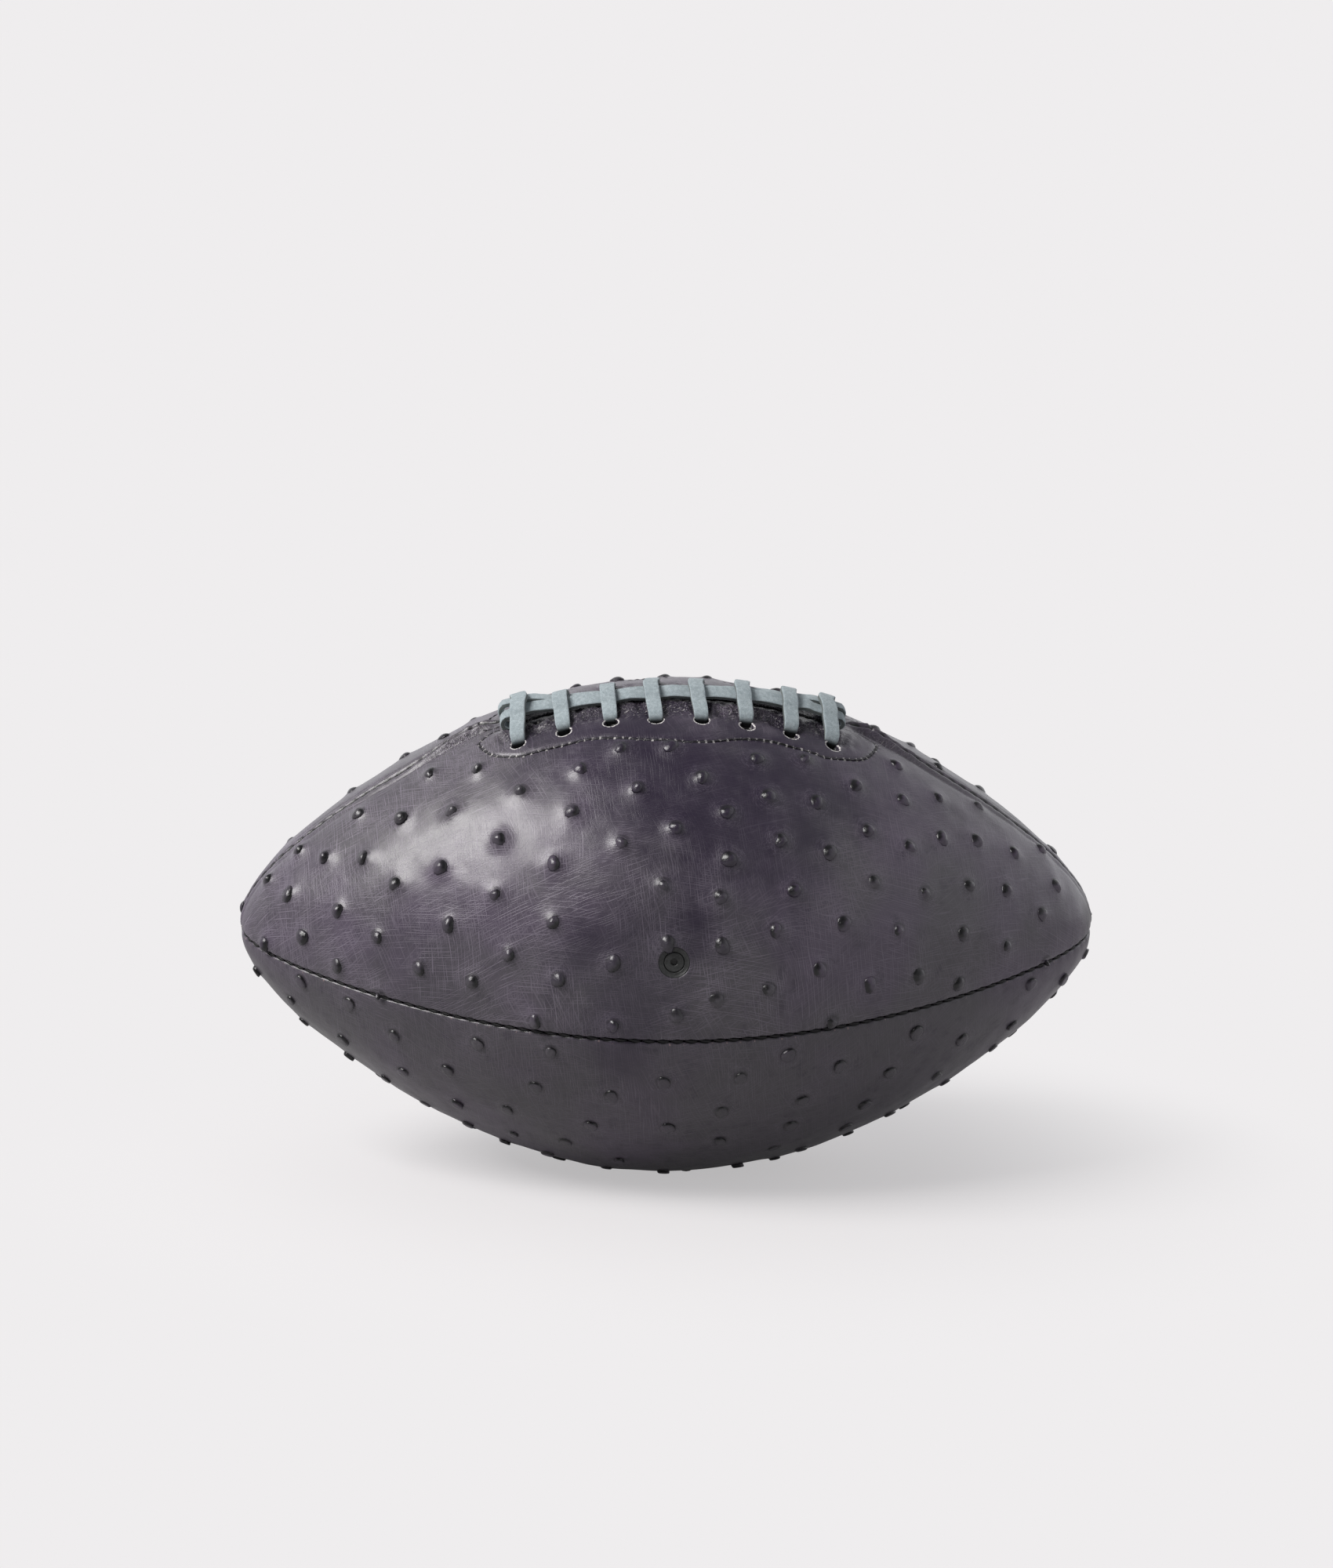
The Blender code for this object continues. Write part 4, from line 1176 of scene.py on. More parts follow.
        return added - 1.8 * dip * (1 - smoothstep(w, 3.4, 5.6))

    def crumpled(self, phi: Array, theta: Array) -> Array:
        """Share of crumpled skin: 1 between the lace and its holes, less along the laced seam's roll.

        Args:
            phi: Grid of phi.
            theta: Grid of theta.

        Returns:
            The share at each point.
        """
        if not self.corner.is_laced:
            return np.zeros(phi.shape)
        _, past, w = self.by_row(phi, theta)
        row = (1 - smoothstep(past, 0, 9)) * (1 - smoothstep(w, 8, 16))
        return np.maximum(row, 0.8 * bell(w, 2.0, 1.8) * (1 - smoothstep(past, 0, 45)))

    def build(self) -> Piece:
        """Makes the panel's mesh, its UV map of lengths and the data that its material reads.

        Returns:
            The panel.
        """
        theta, height = self.columns()
        phi = np.broadcast_to(self.phi[:, None], theta.shape)
        outer = 2 * (len(self.roll_angles) + 1) + len(self.shares())
        phi, theta, height, edge, dark = self.open_holes(phi, theta, height)
        base = self.ball.place(phi, theta, 0.0)
        way = self.facing_way(phi, theta)
        offsets, near = self.quills.offsets(base)
        height[:, :outer] += self.relief(base, phi, theta, way, offsets)[:, :outer]
        piece = repeated_piece(f"leather_{self.corner.label}", self.ball.place(phi, theta, height)[None])
        arc = self.arc[:, None] / MM
        set_uv(piece, stacked(arc, (theta - self.seam - QUARTER / 2) * self.ball.outline(phi)[1] / MM))
        laced, other = self.from_seams(phi, theta)
        # Painted shade along the groove reaches farther at the laced seam. The third number is the share of
        # painted glints at the stitches.
        groove, seam_glint_share = (self.dark_groove, 0.25) if self.corner.is_laced else (1.0, 1.0)
        seam_glints = np.where(self.corner.is_laced & (laced < self.plain_by_lacing), 0.0, seam_glint_share)
        flesh = np.arange(phi.shape[1]) >= outer
        set_point_data(piece, "quill", offsets * np.array([1 / MM, self.corner.side / MM, 1]))
        set_point_data(piece, "quill_near", near)
        set_point_data(piece, "crumple", self.crumpled(phi, theta))
        set_point_data(piece, "seam", stacked(np.minimum(laced * groove, other) / MM, arc, seam_glints))
        set_point_data(piece, "facing", way / MM)
        # cut: pale cut edge, painted shade inside the holes, and flesh side.
        set_point_data(piece, "cut", stacked(edge, dark, flesh))
        return piece


@dataclass
class SuedeLace:
    """The one flat lace, as seen: two lengthwise strands with curled ends, and eight crossings.

    Each stretch is carried along control rows of seven numbers: centre, direction across the lace, width.
    """

    lacing: Lacing
    ball: BallForm
    rest: float = 1.05 * MM
    over: float = 4.1 * MM
    arch: float = 0.45 * MM
    bank: float = math.radians(4.0)
    lap_bank: float = math.radians(20.0)
    lap_rise: float = 0.85 * MM
    lap_shift: float = 0.5 * MM
    strand_w: float = 2.45 * MM
    curl: float = 2.25 * MM
    tight_curl: float = 1.5 * MM
    right_shift: float = 0.5 * MM
    hole_w: float = 14.6 * MM
    width_in_hole: float = 4.0 * MM
    corner_power: float = 7.0
    section: int = 24
    steps: int = 7

    def crossing(self, number: int, draw: np.random.Generator) -> list[list[float]]:
        """Control rows of one cross lace, from the front hole over the strands to the back hole.

        Args:
            number: Which crossing, from the left.
            draw: Source of the small unevenness.

        Returns:
            The rows.
        """
        s = self.lacing.places()[number]
        lean = self.lacing.lean_mm[number] * MM
        lift = self.lacing.lift_mm[number] * MM
        twist = float(draw.normal(0, 0.03))
        over, width, in_hole = (size / MM for size in (self.over, self.lacing.width, self.width_in_hole))
        entry = self.hole_w / MM + self.lacing.entry_mm[number]
        half = MM * np.array([
            (entry - 0.2, -4.2, in_hole), (entry, -2.4, in_hole), (entry, -0.9, in_hole),
            (entry - 0.15, 0.25, in_hole + 0.3), (entry - 0.9, 1.25, in_hole + 0.6),
            (entry - 2.2, 1.75, width - 0.1), (entry - 3.9, 2.05, width), (6.6, 2.45, width),
            (4.9, over - 0.75, width), (2.6, over + 0.15, width), (0.0, over + 0.45, width),
        ])
        rows = []
        for side, stretch in ((1, half), (-1, half[-2::-1])):
            for w, height, wide in stretch:
                share = np.clip((self.hole_w - w) / (self.hole_w - 5.0 * MM), 0, 1)
                along = s + lean * (1 - w / self.hole_w)
                rows.append([along, side * w, height + lift * share, 1.0, twist, 0.0, wide])
        return rows

    def curl_rows(self, centre: float, end: int, side: int, top: float) -> list[list[float]]:
        """Control rows of a strand's end: round a circle from its top to below, and down into the slit.

        Args:
            centre: Place of the circle's centre along the seam.
            end: 1 at the right end and -1 at the left.
            side: 1 for the front strand and -1 for the back one.
            top: Height of the circle's top.

        Returns:
            The rows.
        """
        w = side * self.strand_w
        curl = self.curl if end < 0 else self.tight_curl
        rows = []
        for degrees in range(0, 181, 20):
            turn = math.radians(degrees)
            place = (centre + end * curl * math.sin(turn), w, top - curl * (1 - math.cos(turn)))
            bank = self.bank * (1 + math.cos(turn)) / 2
            rows.append([*place, *self.tilt(bank, side), self.lacing.width])
        low = top - 2 * curl
        for back, drop in ((1.5, 0.25), (2.9, 1.5), (3.3, 3.4)):
            place = (centre - end * back * MM, w, low - drop * MM)
            rows.append([*place, *self.tilt(0.0, side), self.lacing.width - 0.3 * MM])
        return rows

    @staticmethod
    def tilt(angle: float, side: int) -> tuple[float, float, float]:
        """Direction across a strand that is banked by an angle, like one side of a low roof."""
        return (0.0, math.cos(angle), -side * math.sin(angle))

    def strand(self, side: int, draw: np.random.Generator) -> list[list[float]]:
        """Control rows of one lengthwise strand, from the curl at the right to the curl at the left.

        Args:
            side: 1 for the front strand and -1 for the back one.
            draw: Source of the small unevenness.

        Returns:
            The rows.
        """
        places = self.lacing.places() + np.array(self.lacing.lean_mm) * MM * 0.8
        laps = np.array(self.lacing.lap) if side > 0 else np.zeros(self.lacing.crossings)
        heights = self.rest + np.array(self.lacing.lift_mm) * MM
        heights = heights + np.array(self.lacing.back_lift_mm) * MM * (side < 0)
        reach = self.lacing.end_overhang - self.curl - self.lacing.thickness / 2
        first, last = self.lacing.places()[0] - reach, self.lacing.places()[-1] + reach - self.right_shift
        rows = self.curl_rows(last, 1, side, heights[-1])[::-1]
        numbers = np.arange(self.lacing.crossings)
        for quarter in range(4 * self.lacing.crossings - 5, 0, -1):
            s, level, lap = (np.interp(quarter / 4, numbers, column) for column in (places, heights, laps))
            level += self.lap_rise * lap
            if quarter % 4:
                arch = self.arch * math.sin(math.pi * (quarter % 4) / 4)
                level += arch * (1 + 0.25 * float(draw.normal()))
            w = side * self.strand_w - self.lap_shift * lap
            across = self.tilt(self.bank + self.lap_bank * lap, side)
            rows.append([s, w, level, *across, self.lacing.width])
        return rows + self.curl_rows(first, -1, side, heights[0])

    def rings(self, rows: Array) -> Array:
        """Carries the section along smoothed control rows.

        The section is a superellipse, |x|^n + |y|^n = 1 with n the corner power, x across the lace and y
        through it, where through is the cross product of the way along and the direction across.

        Args:
            rows: Control rows.

        Returns:
            Rings of points on the ball.
        """
        rows = smooth_rows(rows, self.steps)
        centre, across, width = rows[:, :3], rows[:, 3:6], rows[:, 6:7]
        along = unit(np.gradient(centre, axis=0))
        across = unit(across - along * (across * along).sum(1, keepdims=True))
        through = np.cross(across, along) * self.lacing.thickness / 2
        turn = full_turn(self.section, 0.5)
        power = 2 / self.corner_power
        x, y = (np.sign(wave) * np.abs(wave) ** power for wave in (np.cos(turn), np.sin(turn)))
        section = x[:, None] * (across * width / 2)[:, None, :] + y[:, None] * through[:, None, :]
        return centre[:, None, :] + section

    def dress(self, name: str, rows: list[list[float]]) -> Piece:
        """Makes one stretch of the lace, with a UV map along and across it.

        Args:
            name: Name of the piece.
            rows: Its control rows.

        Returns:
            The closed mesh.
        """
        rings = self.rings(np.array(rows))
        piece = repeated_piece(name, self.ball.by_lacing(rings)[None])
        length = lengths_along(rings.mean(1))[:, None]
        across = np.cos(full_turn(self.section, 0.5))
        set_uv(piece, stacked(length / MM, across * self.lacing.width / MM / 2))
        # Depth below the skin, which the suede reads for its painted shade in the holes.
        depth = np.clip(-rings[..., 2] / MM, -3, 3)
        edge = smoothstep(np.abs(across), 0.93, 0.995)
        set_point_data(piece, "lace", stacked(edge, depth, across))
        return piece

    def build(self) -> list[Piece]:
        """Makes all stretches.

        Returns:
            The eight crossings and the two strands.
        """
        draw = np.random.default_rng(3)
        count = self.lacing.crossings
        pieces = [self.dress(f"cross_lace_{n + 1}", self.crossing(n, draw)) for n in range(count)]
        for label, side in (("front", 1), ("back", -1)):
            pieces.append(self.dress(f"lace_strand_{label}", self.strand(side, draw)))
        return pieces


@dataclass
class Stitching:
    """Waxed thread: short stitches along a line on the ball, each an arched tube that dives at both ends."""

    ball: BallForm
    corners: int = 7
    bend: int = 6

    def stitches(self, name: str, starts: Array, ends: Array, up: Array, rise: float, thick: float) -> Piece:
        """Makes one tube for each stitch.

        The centre line runs from start to end at share t, raised along up by rise * sin(pi t) and sunk at
        the ends, and the radius shrinks a little towards them.

        Args:
            name: Name of the piece.
            starts: Where the stitches start.
            ends: Where they end.
            up: Outward directions at them.
            rise: Height of the arch's middle over its ends.
            thick: Radius of the thread.

        Returns:
            The mesh of all stitches.
        """
        t = np.linspace(0, 1, self.bend)[None, :, None]
        centre = starts[:, None] * (1 - t) + ends[:, None] * t
        centre = centre + up[:, None] * rise * (np.sin(math.pi * t) - 0.35)
        along = unit(np.gradient(centre, axis=1))
        side = unit(np.cross(along, up[:, None]))
        over = np.cross(side, along)
        turn = full_turn(self.corners)[:, None]
        radius = thick * (0.72 + 0.28 * np.sin(math.pi * t))
        round_it = (radius * side)[:, :, None] * np.cos(turn) + (radius * over)[:, :, None] * np.sin(turn)
        return repeated_piece(name, centre[:, :, None] + round_it)

    def seam(self, name: str, seam: float, first: float, last: float, panel: LeatherPanel) -> Piece:
        """Slanting stitches across the groove of a seam, from one value of phi to another.

        Args:
            name: Name of the piece.
            seam: Angle of the seam.
            first: Phi of the first stitch.
            last: Phi of the last stitch.
            panel: A panel beside it, for the pitch and the groove's size.

        Returns:
            The mesh of the stitches.
        """
        fine = np.linspace(first, last, 800)
        x, radius, _, _ = self.ball.outline(fine)
        length = lengths_along(stacked(x, radius))
        middle = length - np.interp(0.0, x, length) if first < 0 < last else length
        low, high = math.ceil(middle[0] / panel.stitch_pitch), math.floor(middle[-1] / panel.stitch_pitch)
        places = np.arange(low, high + 1) * panel.stitch_pitch
        slant, reach = 1.85 * MM, 0.26 * MM
        before, after = np.interp(places - slant, middle, fine), np.interp(places + slant, middle, fine)
        depth = -panel.seam_sag - 0.72 * panel.roll
        near, far = self.ball.outline(before)[1], self.ball.outline(after)[1]
        here = np.interp(places, middle, fine)
        strayed = seam + self.ball.bend(here) * (seam == self.ball.laced_seam)
        starts = self.ball.place(before, strayed - reach / near, depth)
        ends = self.ball.place(after, strayed + reach / far, depth)
        return self.stitches(name, starts, ends, self.ball.axes(here, strayed)[2], 0.22 * MM, 0.50 * MM)

    def facing(self, name: str, side: int, lacing: Lacing) -> Piece:
        """Running stitches along the facing's outline on one side of the lacing.

        Args:
            name: Name of the piece.
            side: 1 for the front and -1 for the back.
            lacing: Where the outline runs.

        Returns:
            The mesh of the stitches.
        """
        line, length = lacing.facing_line()
        gap, low = 0.45 * MM, -0.04 * MM
        first = np.arange(0.0, length[-1] - lacing.stitch, lacing.stitch)
        rows = []
        for after, height in ((gap / 2, low), (lacing.stitch - gap / 2, low), (gap / 2, low + MM)):
            s, w = (np.interp(first + after, length, column) for column in line.T)
            rows.append(self.ball.by_lacing(stacked(s, side * w, height)))
        start, end, above = rows
        return self.stitches(name, start, end, unit(above - start), 0.16 * MM, 0.24 * MM)


@dataclass
class Valve:
    """The rubber valve: a dished ring in the panel's hole, and the plug with the needle hole in it."""

    ball: BallForm
    panel: LeatherPanel
    segments: int = 96

    def turned(self, name: str, profile: Sequence[tuple[float, float]]) -> Piece:
        """Turns a closed profile about the valve's axis.

        Args:
            name: Name of the piece.
            profile: Radius and height of its corners in millimetres.

        Returns:
            The mesh.
        """
        phi, theta = self.ball.phi_at(self.panel.valve_x), self.panel.valve_angle
        along, around, outward = self.ball.axes(phi, theta)
        outline = np.array(profile) * MM
        turn = full_turn(self.segments)[:, None]
        circle = np.cos(turn) * along + np.sin(turn) * around
        rings = self.ball.place(phi, theta, 0.0) + outline[:, :1] * circle[:, None] + outline[:, 1:] * outward
        count, corners = rings.shape[:2]
        return new_piece(name, rings, tube_quads(count + 1, corners) % (count * corners))

    def build(self) -> list[Piece]:
        """Makes the valve.

        Returns:
            The ring and the plug.
        """
        ring = (
            (3.28, -6.0), (3.28, -0.75), (3.36, -0.52), (3.55, -0.42), (3.80, -0.44), (4.15, -0.34),
            (4.45, -0.16), (4.66, -0.02), (4.80, 0.0), (4.90, -0.10), (4.93, -0.4), (4.93, -6.0),
        )
        plug = (
            (1.05, -5.0), (1.05, -0.95), (1.16, -0.74), (1.40, -0.62), (1.9, -0.55), (2.5, -0.48),
            (2.85, -0.46), (3.02, -0.52), (3.12, -0.68), (3.14, -1.0), (3.14, -5.0),
        )
        return [self.turned("valve_ring", ring), self.turned("valve_insert", plug)]


class NodeBoard:
    """A node tree with short calls for adding nodes and wires, for materials and node groups alike."""

    def __init__(self, tree: bpy.types.NodeTree) -> None:
        """Keeps the tree that nodes go to."""
        self.tree = tree

    def add(self, kind: str, inputs: dict | None = None, **settings: object) -> bpy.types.Node:
        """Adds a node, sets its properties, and sets or wires its inputs.

        Args:
            kind: The node's type without the leading ShaderNode.
            inputs: Input name or number to a number, a tuple or another node's output.
            **settings: Properties of the node.

        Returns:
            The node.
        """
        node = self.tree.nodes.new("ShaderNode" + kind)
        for key, value in settings.items():
            setattr(node, key, value)
        for key, value in (inputs or {}).items():
            self.feed(node.inputs[key], value)
        return node

    def feed(self, socket: Socket, value: object) -> None:
        """Gives an input its value.

        Args:
            socket: The input.
            value: A number, a tuple or another node's output.
        """
        if isinstance(value, Socket):
            self.tree.links.new(value, socket)
        else:
            socket.default_value = value

    def math(self, operation: str, first: object, second: object = 0.0, clamp: bool = False) -> Socket:
        """The result of one arithmetic step on numbers or outputs."""
        return self.add("Math", {0: first, 1: second}, operation=operation, use_clamp=clamp).outputs[0]

    def times(self, first: object, *others: object) -> Socket:
        """The product of numbers and outputs."""
        for other in others:
            first = self.math("MULTIPLY", first, other)
        return first

    def plus(self, first: object, second: object) -> Socket:
        """The sum of two numbers or outputs."""
        return self.math("ADD", first, second)

    def minus(self, first: object, second: object) -> Socket:
        """The first number or output less the second."""
        return self.math("SUBTRACT", first, second)

    def step(self, value: object, low: float, high: float, start: float = 0.0, end: float = 1.0) -> Socket:
        """A smooth step from start at low to end at high."""
        inputs = {"Value": value, "From Min": low, "From Max": high, "To Min": start, "To Max": end}
        return self.add("MapRange", inputs, interpolation_type="SMOOTHSTEP").outputs["Result"]

    def mix(self, share: object, first: object, second: object) -> Socket:
        """A colour between two, by share."""
        return self.add("Mix", {0: share, 6: first, 7: second}, data_type="RGBA").outputs[2]

    def vector(self, operation: str, first: object, second: object) -> Socket:
        """The result of one arithmetic step on vectors."""
        return self.add("VectorMath", {0: first, 1: second}, operation=operation).outputs[0]

    def scaled(self, vector: object, factor: object) -> Socket:
        """A vector times a number."""
        return self.add("VectorMath", {0: vector, "Scale": factor}, operation="SCALE").outputs[0]

    def length(self, vector: object) -> Socket:
        """Length of a vector."""
        return self.add("VectorMath", {0: vector}, operation="LENGTH").outputs["Value"]

    def parts(self, vector: object) -> bpy.types.bpy_prop_collection:
        """The X, Y and Z of a vector."""
        return self.add("SeparateXYZ", {0: vector}).outputs

    def attribute(self, name: str, kind: str = "Vector") -> Socket:
        """What the mesh stores under a name."""
        return self.add("Attribute", attribute_name=name).outputs[kind]

    def in_mm(self) -> Socket:
        """Object coordinates in millimetres."""
        return self.scaled(self.add("TexCoord").outputs["Object"], 1 / MM)

    def noise(self, vector: object, scale: float, detail: float = 2.0, rough: float = 0.5) -> Socket:
        """Noise of about 0 to 1 at a scale."""
        inputs = {"Vector": vector, "Scale": scale, "Detail": detail, "Roughness": rough}
        return self.add("TexNoise", inputs).outputs["Fac"]

    def turned(self, vector: object, degrees: float) -> Socket:
        """Coordinates turned in their plane."""
        return self.add("Mapping", {"Vector": vector, "Rotation": (0, 0, math.radians(degrees))}).outputs[0]

    def over(self, colour: object, *layers: tuple[object, object]) -> Socket:
        """Lays colours over a colour, each given as its share and itself."""
        for share, layer in layers:
            colour = self.mix(share, colour, layer)
        return colour

    def relief(self, *heights: tuple[object, float, float]) -> Socket:
        """A normal tilted by heights in turn.

        Args:
            *heights: A height from 0 to 1, its strength, and its depth in millimetres, for each.

        Returns:
            The normal.
        """
        normal = {}
        for height, strength, depth in heights:
            inputs = {"Height": height, "Strength": strength, "Distance": depth * MM, **normal}
            normal = {"Normal": self.add("Bump", inputs).outputs[0]}
        return normal["Normal"]

    def group(self, tree: bpy.types.NodeTree, vector: Socket, number: float) -> Socket:
        """The output of a node group for a vector and a number."""
        return self.add("Group", {0: vector, 1: number}, node_tree=tree).outputs[0]

    def wire(self, shader: bpy.types.Node, **inputs: object) -> None:
        """Feeds a shader's inputs, each named with _ for a space."""
        for key, value in inputs.items():
            self.feed(shader.inputs[key.replace("_", " ")], value)


def new_group(name: str, number: str, result: str) -> tuple[NodeBoard, Socket, Socket, Socket]:
    """Starts a node group that makes one value from a vector and a number.

    Args:
        name: Name of the group.
        number: What the number is called.
        result: What the value is called.

    Returns:
        A board for its tree, the vector and the number to wire from, and the input to wire the value to.
    """
    tree = bpy.data.node_groups.new(name, "ShaderNodeTree")
    sockets = ("Vector", "INPUT", "Vector"), (number, "INPUT", "Float"), (result, "OUTPUT", "Float")
    for label, way, kind in sockets:
        tree.interface.new_socket(label, in_out=way, socket_type="NodeSocket" + kind)
    given = tree.nodes.new("NodeGroupInput").outputs
    return NodeBoard(tree), given["Vector"], given[number], tree.nodes.new("NodeGroupOutput").inputs[0]


@cache
def grain_group() -> bpy.types.NodeTree:
    """Fine leather and rubber grain: small cells with soft borders over finer noise.

    Returns:
        The group.
    """
    board, vector, scale, height = new_group("fine_grain", "Scale", "Height")
    scaled = board.scaled(vector, scale)
    cells = board.add("TexVoronoi", {"Vector": scaled, "Scale": 1.0}, feature="SMOOTH_F1").outputs["Distance"]
    dust = board.noise(scaled, 2.6, 3.0, 0.6)
    board.tree.links.new(board.plus(board.times(cells, 0.7), board.times(dust, 0.5)), height)
    return board.tree


@dataclass(frozen=True)
class CreaseFamily:
    """One direction of hairline creases.

    Attributes:
        degrees: Direction of the lines.
        pitch: Mean distance between them in millimetres.
        patch: Cells for each millimetre of the patches where they show.
        weight: Strength.
    """

    degrees: float
    pitch: float
    patch: float
    weight: float


CREASE_FAMILIES = (
    CreaseFamily(17.0, 0.80, 0.030, 0.9),
    CreaseFamily(-84.0, 0.76, 0.028, 1.0),
    CreaseFamily(-66.0, 0.98, 0.035, 0.55),
    CreaseFamily(40.0, 1.05, 0.035, 0.45),
    CreaseFamily(-8.0, 0.72, 0.032, 0.9),
)


@cache
def crease_group() -> bpy.types.NodeTree:
    """Hairline creases in crossing directions.

    Each family is a set of parallel lines whose distance from each other wanders with a slow noise, broken
    into stretches by a noise that is drawn out along them, and shown in patches.

    Returns:
        The group.
    """
    board, skin, width, lines = new_group("skin_creases", "Width", "Lines")
    slow = board.add("TexNoise", {"Vector": skin, "Scale": 0.03, "Detail": 1.0}).outputs["Color"]
    bent = board.vector("ADD", skin, board.scaled(slow, 3.5))
    total = None
    for number, family in enumerate(CREASE_FAMILIES):
        apart = (73.0 * number, 31.0 * number, 0.0)
        spot = board.vector("ADD", board.turned(bent, family.degrees), apart)
        wander = board.noise(board.vector("MULTIPLY", spot, (0.03, 0.45, 1.0)), 1.0, 1.0)
        count = board.math("DIVIDE", board.parts(spot)["Y"], family.pitch)
        count = board.math("FRACT", board.plus(count, board.times(wander, 2.6)))
        off = board.math("DIVIDE", board.math("ABSOLUTE", board.minus(count, 0.5)), width)
        line = board.math("SUBTRACT", 1.0, off, clamp=True)
        ends = board.noise(board.vector("MULTIPLY", spot, (0.12, 1.3, 1.0)), 1.0, 1.0)
        patch = board.noise(board.vector("ADD", skin, apart), family.patch, 2.0)
        shown = board.times(board.step(ends, 0.40, 0.58), board.step(patch, 0.38, 0.54), family.weight)
        layer = board.times(line, shown)
        total = layer if total is None else board.math("MAXIMUM", total, layer)
    board.tree.links.new(total, lines)
    return board.tree


@cache
def speckle_group() -> bpy.types.NodeTree:
    """Mottling of nap and thread: coarse noise with fine noise over it, about 0 to 1.

    Returns:
        The group.
    """
    board, vector, scale, value = new_group("speckle", "Scale", "Value")
    scaled = board.scaled(vector, scale)
    coarse = board.noise(scaled, 1.0, 3.0, 0.6)
    fine = board.noise(scaled, 6.5, 2.0, 0.7)
    board.tree.links.new(board.plus(board.times(coarse, 0.6), board.times(fine, 0.4)), value)
    return board.tree


def start_material(name: str) -> tuple[Material, NodeBoard, bpy.types.Node]:
    """Starts a material.

    Args:
        name: Name of the material.

    Returns:
        The material, a board for its nodes, and its Principled shader.
    """
    material = bpy.data.materials.new(name)
    material.use_nodes = True
    return material, NodeBoard(material.node_tree), material.node_tree.nodes["Principled BSDF"]


@dataclass(frozen=True)
class Stain:
    """A darker place, partly deeper dye and partly painted shade: centre and reach in millimetres,
    and depth from 0 to 1.
    """

    centre: tuple[float, float, float]
    reach: float
    depth: float


